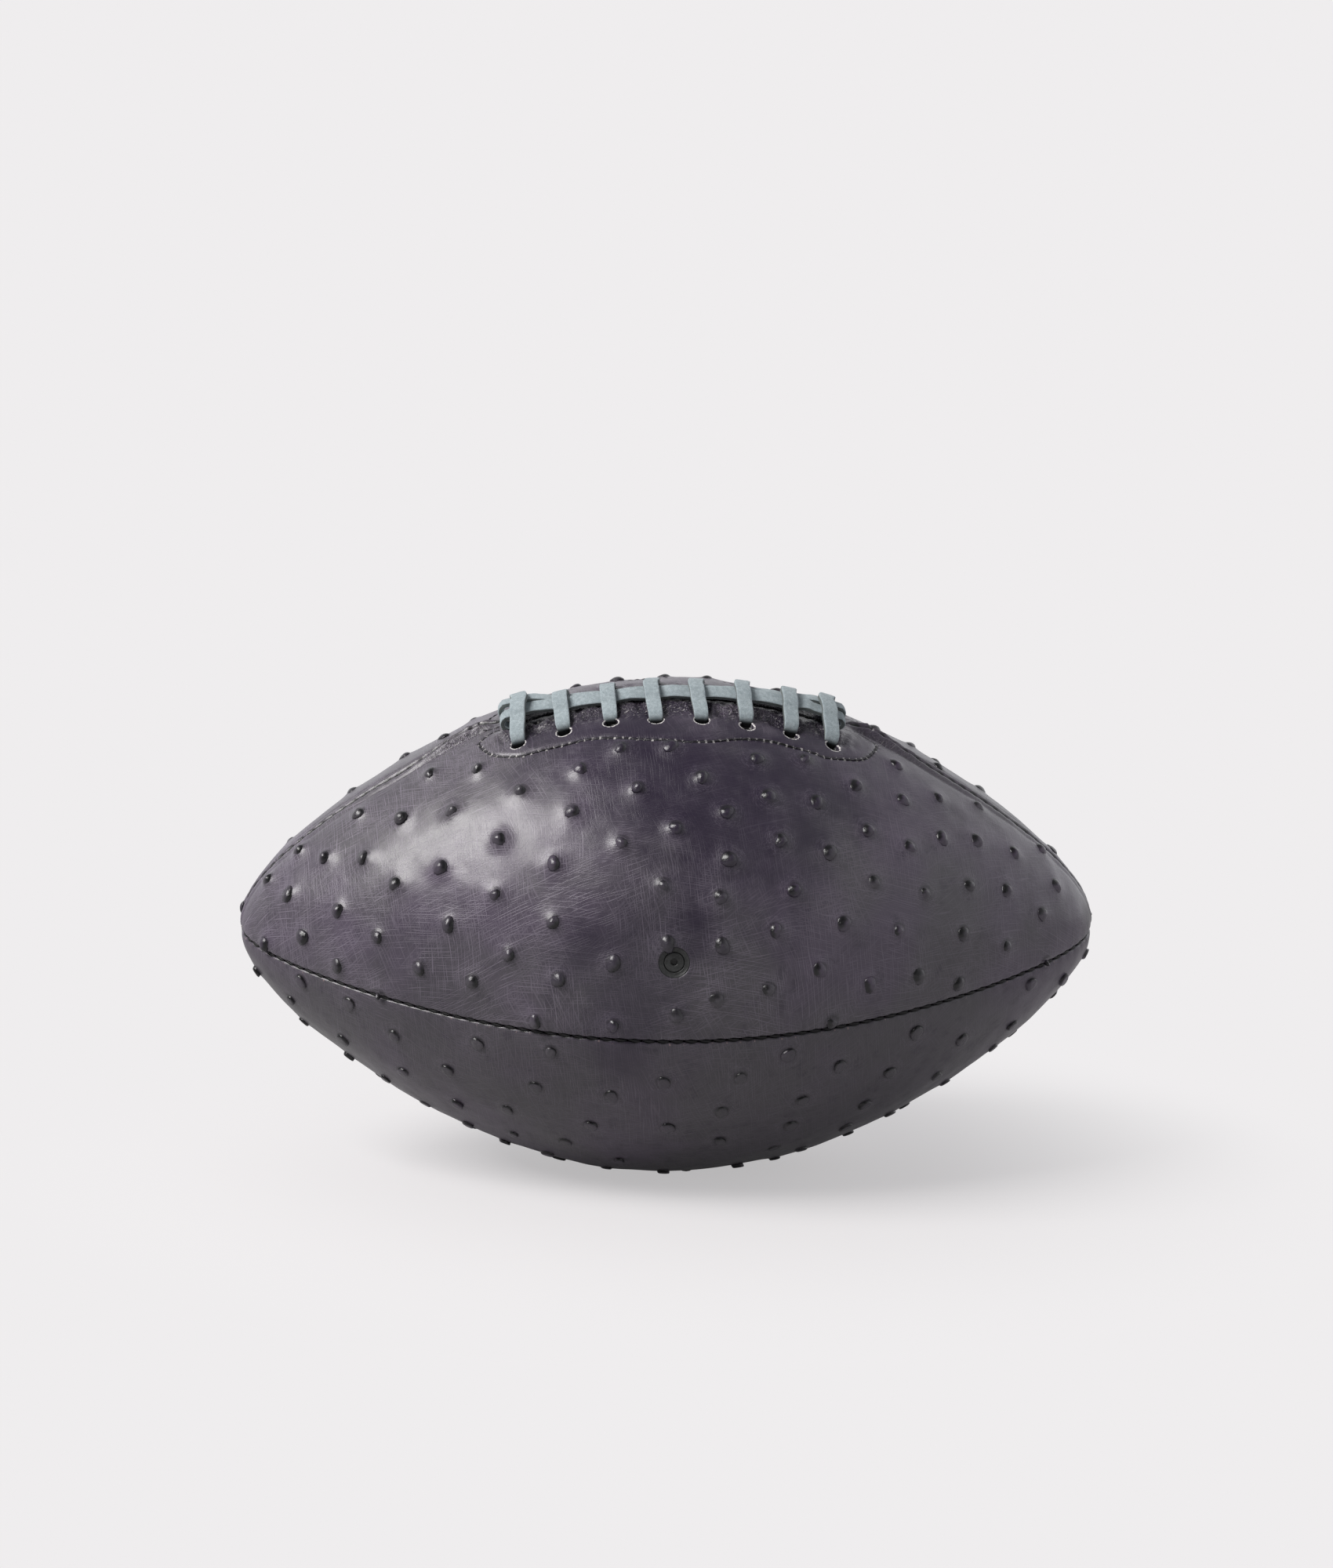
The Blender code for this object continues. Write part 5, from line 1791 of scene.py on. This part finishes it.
@dataclass(frozen=True)
class QuilledLeather:
    """Satin plum-grey leather with hairline creases and drawn skin round its quills, with painted shade in
    its seams, holes and folds and on its tips, and painted glints.
    """

    dye_shades: tuple[Stain, ...]
    seam_pitch: float
    facing_pitch: float
    dark: Colour = (0.036, 0.026, 0.048, 1)
    # Colour of the darker places, partly deeper dye and partly painted shade.
    stain: Colour = (0.024, 0.016, 0.036, 1)
    plum: Colour = (0.094, 0.074, 0.110, 1)
    grey: Colour = (0.086, 0.078, 0.092, 1)
    line: Colour = (0.260, 0.225, 0.285, 1)
    flesh: Colour = (0.30, 0.25, 0.21, 1)
    # Pale colour of the holes' cut edges, also used for the painted glints on the crumpled skin and at the
    # facing's stitches.
    cut: Colour = (0.78, 0.75, 0.74, 1)
    # Reddish pale colour of the painted glints at the seam stitches.
    seam_glint: Colour = (0.26, 0.19, 0.19, 1)
    # Black, for the painted shade in grooves, holes, round and on the tips and over the lower panels, and for
    # the facing's line.
    black: Colour = (0.004, 0.004, 0.005, 1)
    # Colour of the tips, also used for the painted shade in the crumpled skin's valleys.
    tip: Colour = (0.016, 0.015, 0.019, 1)
    line_width: float = 0.20
    line_share: float = 0.86
    roughness: float = 0.39
    coat: float = 0.38
    coat_roughness: float = 0.22

    def make(self) -> Material:
        """Builds the material.

        Returns:
            The material.
        """
        material, board, shader = start_material("quilled_leather")
        skin = board.add("UVMap", uv_map="skin").outputs[0]
        in_mm = board.in_mm()
        bead, cut = board.parts(board.attribute("bead")), board.parts(board.attribute("cut"))
        # The seam data's third number is 1 on the lower panels; it fades their creases and paints shade over
        # them.
        low = board.parts(board.attribute("seam"))["Z"]
        crumple = board.attribute("crumple", "Fac")
        creases = board.times(
            board.group(crease_group(), skin, self.line_width),
            board.step(board.parts(skin)["X"], 0.0, 70.0, 1.0, 0.5),
            board.step(low, 0.3, 0.9, 1.0, 0.5),
            board.minus(1.0, bead["X"]),
        )
        mottle = board.noise(in_mm, 0.16, 4.0, 0.65)
        folds = board.math("ABSOLUTE", board.minus(board.noise(in_mm, 0.5, 3.0, 0.62), 0.5))

        colour = board.mix(board.times(creases, self.line_share), self.dye(board, in_mm, mottle), self.line)
        colour = self.dye_shaded(board, colour, in_mm)
        # Painted shade in the valleys of the crumpled skin beside the lace.
        fold_shade = board.times(board.step(folds, 0.0, 0.05, 1.0, 0.0), crumple, 0.75)
        # Painted shade over the lower panels, which face the floor.
        colour = board.over(colour, (board.step(low, 0.3, 0.9, 0.0, 0.14), self.black), (fold_shade, self.tip))
        colour, wrinkles, drawn = self.round_quills(board, colour)
        # Tips: their tone, with painted shade on one side.
        tip = board.over(self.tip, (bead["Z"], colour), (bead["Y"], self.black))
        colour, line = self.along_stitches(board, board.mix(bead["X"], colour, tip), in_mm)
        fray = board.step(board.noise(in_mm, 1.4, 2.0, 0.7), 0.34, 0.56, 0.45, 1.0)
        rim = board.step(board.times(cut["X"], fray), 0.42, 0.60)
        # Painted glints on the crumpled skin beside the lace.
        crumple_glints = board.noise(board.vector("MULTIPLY", board.turned(skin, 35.0), (0.55, 1.7, 1.0)), 1.0, 1.0)
        crumple_glints = board.times(board.step(crumple_glints, 0.61, 0.70), crumple, 0.45)
        # The third layer is the painted shade inside the holes.
        layers = (rim, self.cut), (crumple_glints, self.cut), (cut["Y"], self.black), (cut["Z"], self.flesh)
        colour = board.over(colour, *layers)

        roughness = board.plus(board.times(board.minus(mottle, 0.5), 0.30), self.roughness)
        for share, more in ((creases, 0.10), (bead["X"], -0.06), (crumple, -0.14)):
            roughness = board.plus(roughness, board.times(share, more))
        roughness = board.math("MAXIMUM", roughness, board.times(cut["Z"], 0.95))
        normal = board.relief(
            (board.group(grain_group(), in_mm, 2.2), 0.10, 0.10),
            (board.times(creases, -1.0), 0.42, 0.09),
            (board.times(wrinkles, drawn), 0.35, 0.15),
            (board.noise(in_mm, 0.42, 3.0, 0.55), 0.24, 0.40),
            (board.times(board.step(folds, 0.0, 0.22), crumple), 0.75, 0.55),
            (board.times(board.noise(in_mm, 0.8, 1.5, 0.5), bead["X"]), 0.55, 0.50),
            (board.times(line, -1.0), 0.8, 0.30),
        )
        board.wire(shader, Base_Color=colour, Roughness=roughness, Normal=normal, Specular_IOR_Level=0.5)
        board.wire(shader, Coat_Weight=self.coat, Coat_Roughness=self.coat_roughness)
        return material

    def dye(self, board: NodeBoard, in_mm: Socket, mottle: Socket) -> Socket:
        """Colour of the dyed skin: plum and grey clouds, and darker flecks.

        Args:
            board: Where the nodes go.
            in_mm: Object coordinates in millimetres.
            mottle: Noise of the flecks.

        Returns:
            The colour.
        """
        cloud = board.noise(in_mm, 0.020, 3.0, 0.55)
        colour = board.mix(board.step(cloud, 0.38, 0.60), self.plum, self.grey)
        return board.mix(board.times(board.step(mottle, 0.52, 0.72), 0.5), colour, self.dark)

    def dye_shaded(self, board: NodeBoard, colour: Socket, in_mm: Socket) -> Socket:
        """Darkens the skin and its fine lines at the darker places, partly deeper dye and partly painted
        shade.

        Args:
            board: Where the nodes go.
            colour: Colour so far.
            in_mm: Object coordinates in millimetres.

        Returns:
            The colour.
        """
        ragged = board.times(board.minus(board.noise(in_mm, 0.045, 4.0, 0.6), 0.5), 2.4)
        for stain in self.dye_shades:
            distance = board.length(board.vector("SUBTRACT", in_mm, stain.centre))
            share = board.plus(board.math("DIVIDE", distance, stain.reach), ragged)
            colour = board.mix(board.step(share, 0.2, 1.25, stain.depth, 0.0), colour, self.stain)
        return colour

    def round_quills(self, board: NodeBoard, colour: Socket) -> tuple[Socket, Socket, Socket]:
        """Skin round the quills: painted shade round each tip's foot, heavier on its upper side, and fine
        rings that come and go.

        Args:
            board: Where the nodes go.
            colour: The skin's colour so far.

        Returns:
            The new colour, the rings' height, and the mask of where they show.
        """
        quill, near = board.attribute("quill"), board.attribute("quill_near", "Fac")
        flat = board.vector("MULTIPLY", quill, (1, 1, 0))
        distance = board.length(flat)
        parts = board.parts(board.add("VectorMath", {0: flat}, operation="NORMALIZE").outputs[0])
        apart = board.plus(distance, board.times(board.parts(quill)["Z"], 390.0))
        rings = board.add("CombineXYZ", {0: parts["X"], 1: parts["Y"], 2: apart}).outputs[0]
        rings = board.noise(rings, 1.7, 1.5, 0.5)
        outside = board.times(near, board.step(distance, 2.0, 2.6))
        line = board.math("DIVIDE", board.math("ABSOLUTE", board.minus(rings, 0.5)), 0.05)
        line = board.times(board.math("SUBTRACT", 1.0, line, clamp=True), outside, 0.22)
        # Painted shade round the foot of each tip, heavier on its upper side.
        foot = board.times(board.step(distance, 1.6, 2.1), board.step(distance, 2.35, 3.3, 1.0, 0.0), near)
        foot = board.times(foot, board.step(parts["Y"], -0.9, 0.2, 0.5, 0.15))
        return board.over(colour, (line, self.line), (foot, self.black)), rings, outside

    def along_stitches(self, board: NodeBoard, colour: Socket, in_mm: Socket) -> tuple[Socket, Socket]:
        """Paints shade into the seam grooves, darkens the facing's line, and paints glints at the stitches.

        Args:
            board: Where the nodes go.
            colour: The skin's colour so far.
            in_mm: Object coordinates in millimetres.

        Returns:
            The new colour, and the mask of the facing's line.
        """
        chance = board.noise(in_mm, 0.9, 2.0, 0.6)
        seam = board.parts(board.attribute("seam"))
        turn = board.times(seam["Y"], 2 * math.pi * MM / self.seam_pitch)
        # Painted shade in the seam's groove, wavy with the stitches.
        wavy = board.minus(seam["X"], board.times(board.math("COSINE", turn), 0.25))
        groove = board.times(board.step(wavy, 0.38, 0.85, 1.0, 0.0), 0.92)
        # Painted glints on the pinched lip at each seam stitch.
        seam_glint = board.times(
            board.step(board.math("COSINE", board.plus(turn, math.pi)), 0.84, 0.98),
            board.step(seam["X"], 0.9, 1.5, 1.0, 0.0),
            board.step(seam["X"], 0.45, 0.7),
            board.step(chance, 0.52, 0.66),
            seam["Z"],
        )
        facing = board.parts(board.attribute("facing"))
        across = board.math("ABSOLUTE", facing["X"])
        line = board.step(across, 0.15, 0.65, 1.0, 0.0)
        turn = board.times(facing["Y"], 2 * math.pi * MM / self.facing_pitch)
        # Painted glints between the facing's stitches.
        facing_glints = board.times(
            board.step(board.math("COSINE", turn), 0.35, 0.75),
            board.step(across, 0.45, 0.85, 1.0, 0.0),
            board.step(chance, 0.46, 0.58),
            0.7,
        )
        colour = board.over(colour, (groove, self.black), (seam_glint, self.seam_glint))
        return board.over(colour, (board.times(line, 0.85), self.black), (facing_glints, self.cut)), line


@dataclass(frozen=True)
class NappedSuede:
    """Grey-blue suede: pale nap with fine mottling, darker cut edges, and painted shade where it goes
    down into a hole.
    """

    nap: Colour = (0.365, 0.430, 0.462, 1)
    pale: Colour = (0.500, 0.570, 0.600, 1)
    shade: Colour = (0.190, 0.232, 0.250, 1)
    edge: Colour = (0.085, 0.092, 0.084, 1)
    # Painted shade where the lace goes down into a hole.
    depth: Colour = (0.006, 0.007, 0.008, 1)

    def make(self) -> Material:
        """Builds the material.

        Returns:
            The material.
        """
        material, board, shader = start_material("napped_suede")
        in_mm = board.in_mm()
        lace = board.parts(board.attribute("lace"))
        speckle, fuzz = (board.group(speckle_group(), in_mm, scale) for scale in (0.9, 3.2))
        ragged = board.plus(lace["X"], board.times(board.minus(fuzz, 0.5), 1.6))
        colour = board.over(
            board.mix(board.step(speckle, 0.40, 0.62), self.nap, self.pale),
            (board.times(board.step(fuzz, 0.50, 0.64), 0.7), self.shade),
            (board.step(ragged, 0.35, 0.95, 0.0, 0.8), self.edge),
            # Painted shade where the lace goes down into a hole.
            (board.step(lace["Y"], -1.9, 0.5), self.depth),
        )
        roughness = board.plus(board.times(speckle, 0.1), 0.88)
        normal = board.relief((speckle, 0.35, 0.35), (fuzz, 0.55, 0.22))
        board.wire(shader, Base_Color=colour, Roughness=roughness, Normal=normal, Specular_IOR_Level=0.2)
        board.wire(shader, Sheen_Weight=0.2, Sheen_Roughness=0.45)
        return material


@dataclass(frozen=True)
class Plain:
    """A simple finish with mottled colour and grain: thread, rubber, cloth or coated facing.

    Attributes:
        name: Name of the material.
        low: Colour of the darker spots.
        high: Colour of the lighter spots.
        roughness: Mean roughness.
        scale: Spots for each millimetre.
        relief: Height of the grain in millimetres.
        weave: Threads for each millimetre, or 0 for no weave.
    """

    name: str
    low: Colour
    high: Colour
    roughness: float
    scale: float
    relief: float
    weave: float = 0.0

    def make(self) -> Material:
        """Builds the material.

        Returns:
            The material.
        """
        material, board, shader = start_material(self.name)
        in_mm = board.in_mm()
        speckle = board.group(speckle_group(), in_mm, self.scale)
        colour = board.mix(board.step(speckle, 0.38, 0.64), self.low, self.high)
        heights = [(board.group(grain_group(), in_mm, self.scale * 2), 0.4, self.relief)]
        if self.weave:
            turns = board.parts(board.scaled(in_mm, self.weave * 2 * math.pi))
            weft = board.math("SINE", board.plus(turns["Y"], turns["Z"]))
            threads = board.times(board.math("SINE", turns["X"]), weft)
            colour = board.mix(board.step(threads, -0.6, 0.6, 0.0, 0.5), colour, self.low)
            heights.append((threads, 0.6, 0.15))
        roughness = board.plus(board.times(speckle, 0.15), self.roughness - 0.07)
        board.wire(shader, Base_Color=colour, Roughness=roughness, Normal=board.relief(*heights))
        return material


SEAM_THREAD = Plain("seam_thread", (0.003, 0.003, 0.004, 1), (0.012, 0.011, 0.013, 1), 0.6, 3.0, 0.08)
FACING_THREAD = Plain("facing_thread", (0.008, 0.007, 0.009, 1), (0.10, 0.095, 0.11, 1), 0.4, 0.5, 0.08)
VALVE_RUBBER = Plain("valve_rubber", (0.030, 0.031, 0.031, 1), (0.060, 0.062, 0.062, 1), 0.42, 0.9, 0.1)
LINING_CLOTH = Plain("lining_cloth", (0.45, 0.41, 0.34, 1), (0.66, 0.62, 0.54, 1), 0.9, 0.6, 0.1, 1.2)
FACING_VINYL = Plain("facing_vinyl", (0.03, 0.03, 0.032, 1), (0.06, 0.058, 0.06, 1), 0.7, 0.8, 0.1)
BLADDER_RUBBER = Plain("bladder_rubber", (0.01, 0.01, 0.011, 1), (0.03, 0.03, 0.033, 1), 0.55, 0.4, 0.1)


@dataclass
class Studio:
    """Pale floor that fades into the background, a large soft key light and dim fills."""

    background: Colour = (0.863, 0.847, 0.855, 1)
    floor_reach: float = 14.0
    shadow_from: float = 0.08
    shadow_to: float = 0.235
    paper: Colour = (0.42, 0.412, 0.416, 1)
    lift: Colour = (0.470, 0.461, 0.466, 1)
    bounce: float = 0.48
    key_power: float = 19.5
    key_colour: tuple[float, float, float] = (1.0, 0.985, 0.97)
    key_size: tuple[float, float] = (0.88, 0.64)
    key_from: tuple[float, float, float] = (-0.93, -0.42, 1.02)

    def key(self, target: Vector) -> None:
        """Adds the soft key light, which the camera doesn't see.

        Args:
            target: Point that the light faces.
        """
        data = bpy.data.lights.new("key_light", "AREA")
        data.shape = "RECTANGLE"
        data.size, data.size_y = self.key_size
        data.energy = self.key_power
        data.color = self.key_colour
        light = bpy.data.objects.new("key_light", data)
        light.location = self.key_from
        light.rotation_euler = (target - Vector(self.key_from)).to_track_quat("-Z", "Y").to_euler()
        light.visible_camera = False
        bpy.context.scene.collection.objects.link(light)

    def floor(self) -> Piece:
        """Makes a large disc whose diffuse middle fades into an even glow of the background's colour.

        Returns:
            The disc.
        """
        turn, reach = full_turn(96), np.array([0.15, 0.5, 1.0, 2.0, 5.0, self.floor_reach])[:, None, None]
        rings = reach * stacked(np.cos(turn), np.sin(turn), 0.0) - (0, 0, 0.05 * MM)
        mesh = bpy.data.meshes.new("floor")
        faces = [list(range(96))] + tube_quads(len(reach), 96).tolist()
        mesh.from_pydata(rings.reshape(-1, 3).tolist(), [], faces)
        floor = bpy.data.objects.new("floor", mesh)
        bpy.context.scene.collection.objects.link(floor)
        material = bpy.data.materials.new("studio_floor")
        material.use_nodes = True
        material.node_tree.nodes.clear()
        board = NodeBoard(material.node_tree)
        distance = board.length(board.add("TexCoord").outputs["Object"])
        is_camera = board.add("LightPath").outputs["Is Camera Ray"]
        paper = board.add("BsdfDiffuse", {"Color": self.paper}).outputs[0]
        lift_power = board.step(is_camera, 0.0, 1.0, 0.10, 1.0)
        lift = board.add("Emission", {"Color": self.lift, "Strength": lift_power}).outputs[0]
        near = board.add("AddShader", {0: paper, 1: lift}).outputs[0]
        glow_power = board.step(is_camera, 0.0, 1.0, self.bounce, 1.0)
        glow = board.add("Emission", {"Color": self.background, "Strength": glow_power}).outputs[0]
        share = board.step(distance, self.shadow_from, self.shadow_to)
        mixed = board.add("MixShader", {0: share, 1: near, 2: glow}).outputs[0]
        board.add("OutputMaterial", {"Surface": mixed})
        mesh.materials.append(material)
        return floor

    def world(self) -> None:
        """Even background for the camera, and a gradient from a bright horizon to a dim top as light."""
        world = bpy.data.worlds.new("studio")
        bpy.context.scene.world = world
        world.use_nodes = True
        world.node_tree.nodes.clear()
        board = NodeBoard(world.node_tree)
        direction = board.parts(board.add("TexCoord").outputs["Generated"])
        behind = board.step(direction["Y"], -0.1, 0.85, 0.0, 0.68)
        behind = board.times(behind, board.step(direction["Z"], 0.25, 0.95, 1.0, 0.2))
        beside = board.step(direction["X"], 0.1, 0.95, 0.0, 0.55)
        strength = board.plus(board.plus(behind, beside), 0.08)
        light = board.add("Background", {"Color": (0.97, 0.975, 1.0, 1), "Strength": strength}).outputs[0]
        seen = board.add("Background", {"Color": self.background, "Strength": 1.0}).outputs[0]
        is_camera = board.add("LightPath").outputs["Is Camera Ray"]
        mixed = board.add("MixShader", {0: is_camera, 1: light, 2: seen}).outputs[0]
        board.add("OutputWorld", {"Surface": mixed})

    def build(self, target: Vector) -> None:
        """Sets up floor, world and light, and how the picture's colours are shown.

        Args:
            target: Point that the light faces.
        """
        self.floor()
        self.world()
        self.key(target)
        bpy.context.scene.view_settings.view_transform = "Standard"


@dataclass
class Ball:
    """The whole object: builds every piece, dresses it and ties it to the frame."""

    frame: dict
    form: BallForm = field(default_factory=BallForm)

    def adopt(self, piece: Piece, material: Material, slot: str, *nodes: str) -> None:
        """Ties a new piece to the frame.

        Args:
            piece: The piece.
            material: Its material.
            slot: Its slot, not used.
            *nodes: The solids that it stands for.
        """
        piece.data.materials.append(material)
        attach(piece, "root")
        if nodes:
            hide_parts(*nodes)
        LOG.info("%s: %d faces", piece.name, len(piece.data.polygons))

    def repaint(self, node: str, material: Material) -> None:
        """Gives a carried-over solid another material.

        Args:
            node: Name of the solid.
            material: The material.
        """
        target = self.frame["nodes"][node]
        target.data.materials.clear()
        target.data.materials.append(material)

    def build(self) -> None:
        """Builds the ball piece by piece."""
        view = PhotoView(self.form)
        view.make_camera()
        lacing = Lacing(self.form, view)
        quills = Quills(self.form, view, lacing)
        panels = {corner: LeatherPanel(corner, self.form, quills, lacing) for corner in Corner}
        # The darker places, partly deeper dye and partly painted shade, laid onto the ball.
        centres = view.onto_ball([spot[:2] for spot in DYE_SHADE_PLACES]) / MM
        dye_shades = tuple(Stain(tuple(centre), *spot[2:]) for centre, spot in zip(centres.tolist(), DYE_SHADE_PLACES))
        leather = QuilledLeather(dye_shades, panels[Corner.FRONT_UPPER].stitch_pitch, lacing.stitch).make()
        for corner, panel in panels.items():
            self.adopt(panel.build(), leather, "leather", f"{corner.label}_panel")
            self.adopt(quills.caps(corner), leather, "leather")
        suede = NappedSuede().make()
        for piece in SuedeLace(lacing, self.form).build():
            self.adopt(piece, suede, "lace_suede", "lace")
        self.sew(lacing, panels[Corner.FRONT_UPPER])
        rubber = VALVE_RUBBER.make()
        ring, plug = Valve(self.form, panels[Corner.FRONT_UPPER]).build()
        self.adopt(ring, rubber, "valve_rubber", "valve_housing")
        self.adopt(plug, rubber, "valve_rubber", "valve_plug")
        self.line()

    def sew(self, lacing: Lacing, panel: LeatherPanel) -> None:
        """Makes the stitches of the seams and of the two facings.

        Args:
            lacing: Where the lacing and the facing lie.
            panel: The panel that gives the stitches' pitch and groove.
        """
        dark, grey = SEAM_THREAD.make(), FACING_THREAD.make()
        stitching = Stitching(self.form)
        tip = math.radians(86.0)
        start = float(self.form.phi_at(lacing.row_end + 3 * MM))
        runs = (
            ("laced_seam_left", 0, -tip, -start),
            ("laced_seam_right", 0, start, tip),
            ("front_seam", 1, -tip, tip),
            ("bottom_seam", 2, -tip, tip),
            ("back_seam", 3, -tip, tip),
        )
        for name, turns, first, last in runs:
            seam = self.form.laced_seam + turns * QUARTER
            piece = stitching.seam(f"stitches_{name}", seam, first, last, panel)
            self.adopt(piece, dark, "seam_thread", name.replace("_seam", "_seam_thread"))
        for label, side in (("front", 1), ("back", -1)):
            piece = stitching.facing(f"stitches_{label}_facing", side, lacing)
            self.adopt(piece, grey, "facing_thread", f"{label}_facing_stitching")

    def line(self) -> None:
        """Repaints the solids inside: linings, facings, tongue and bladder."""
        cloth, vinyl = LINING_CLOTH.make(), FACING_VINYL.make()
        for corner in Corner:
            self.repaint(f"{corner.label}_lining", cloth)
        for node in ("front_lace_facing", "back_lace_facing", "lace_tongue"):
            self.repaint(node, vinyl)
        self.repaint("bladder", BLADDER_RUBBER.make())


def main() -> None:
    """Loads the frame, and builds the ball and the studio."""
    logging.basicConfig(level=logging.INFO, format="%(message)s")
    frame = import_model()
    ball = Ball(frame)
    ball.build()
    Studio().build(Vector((0.0, 0.0, ball.form.centre_height)))


if __name__ == "__main__":
    main()
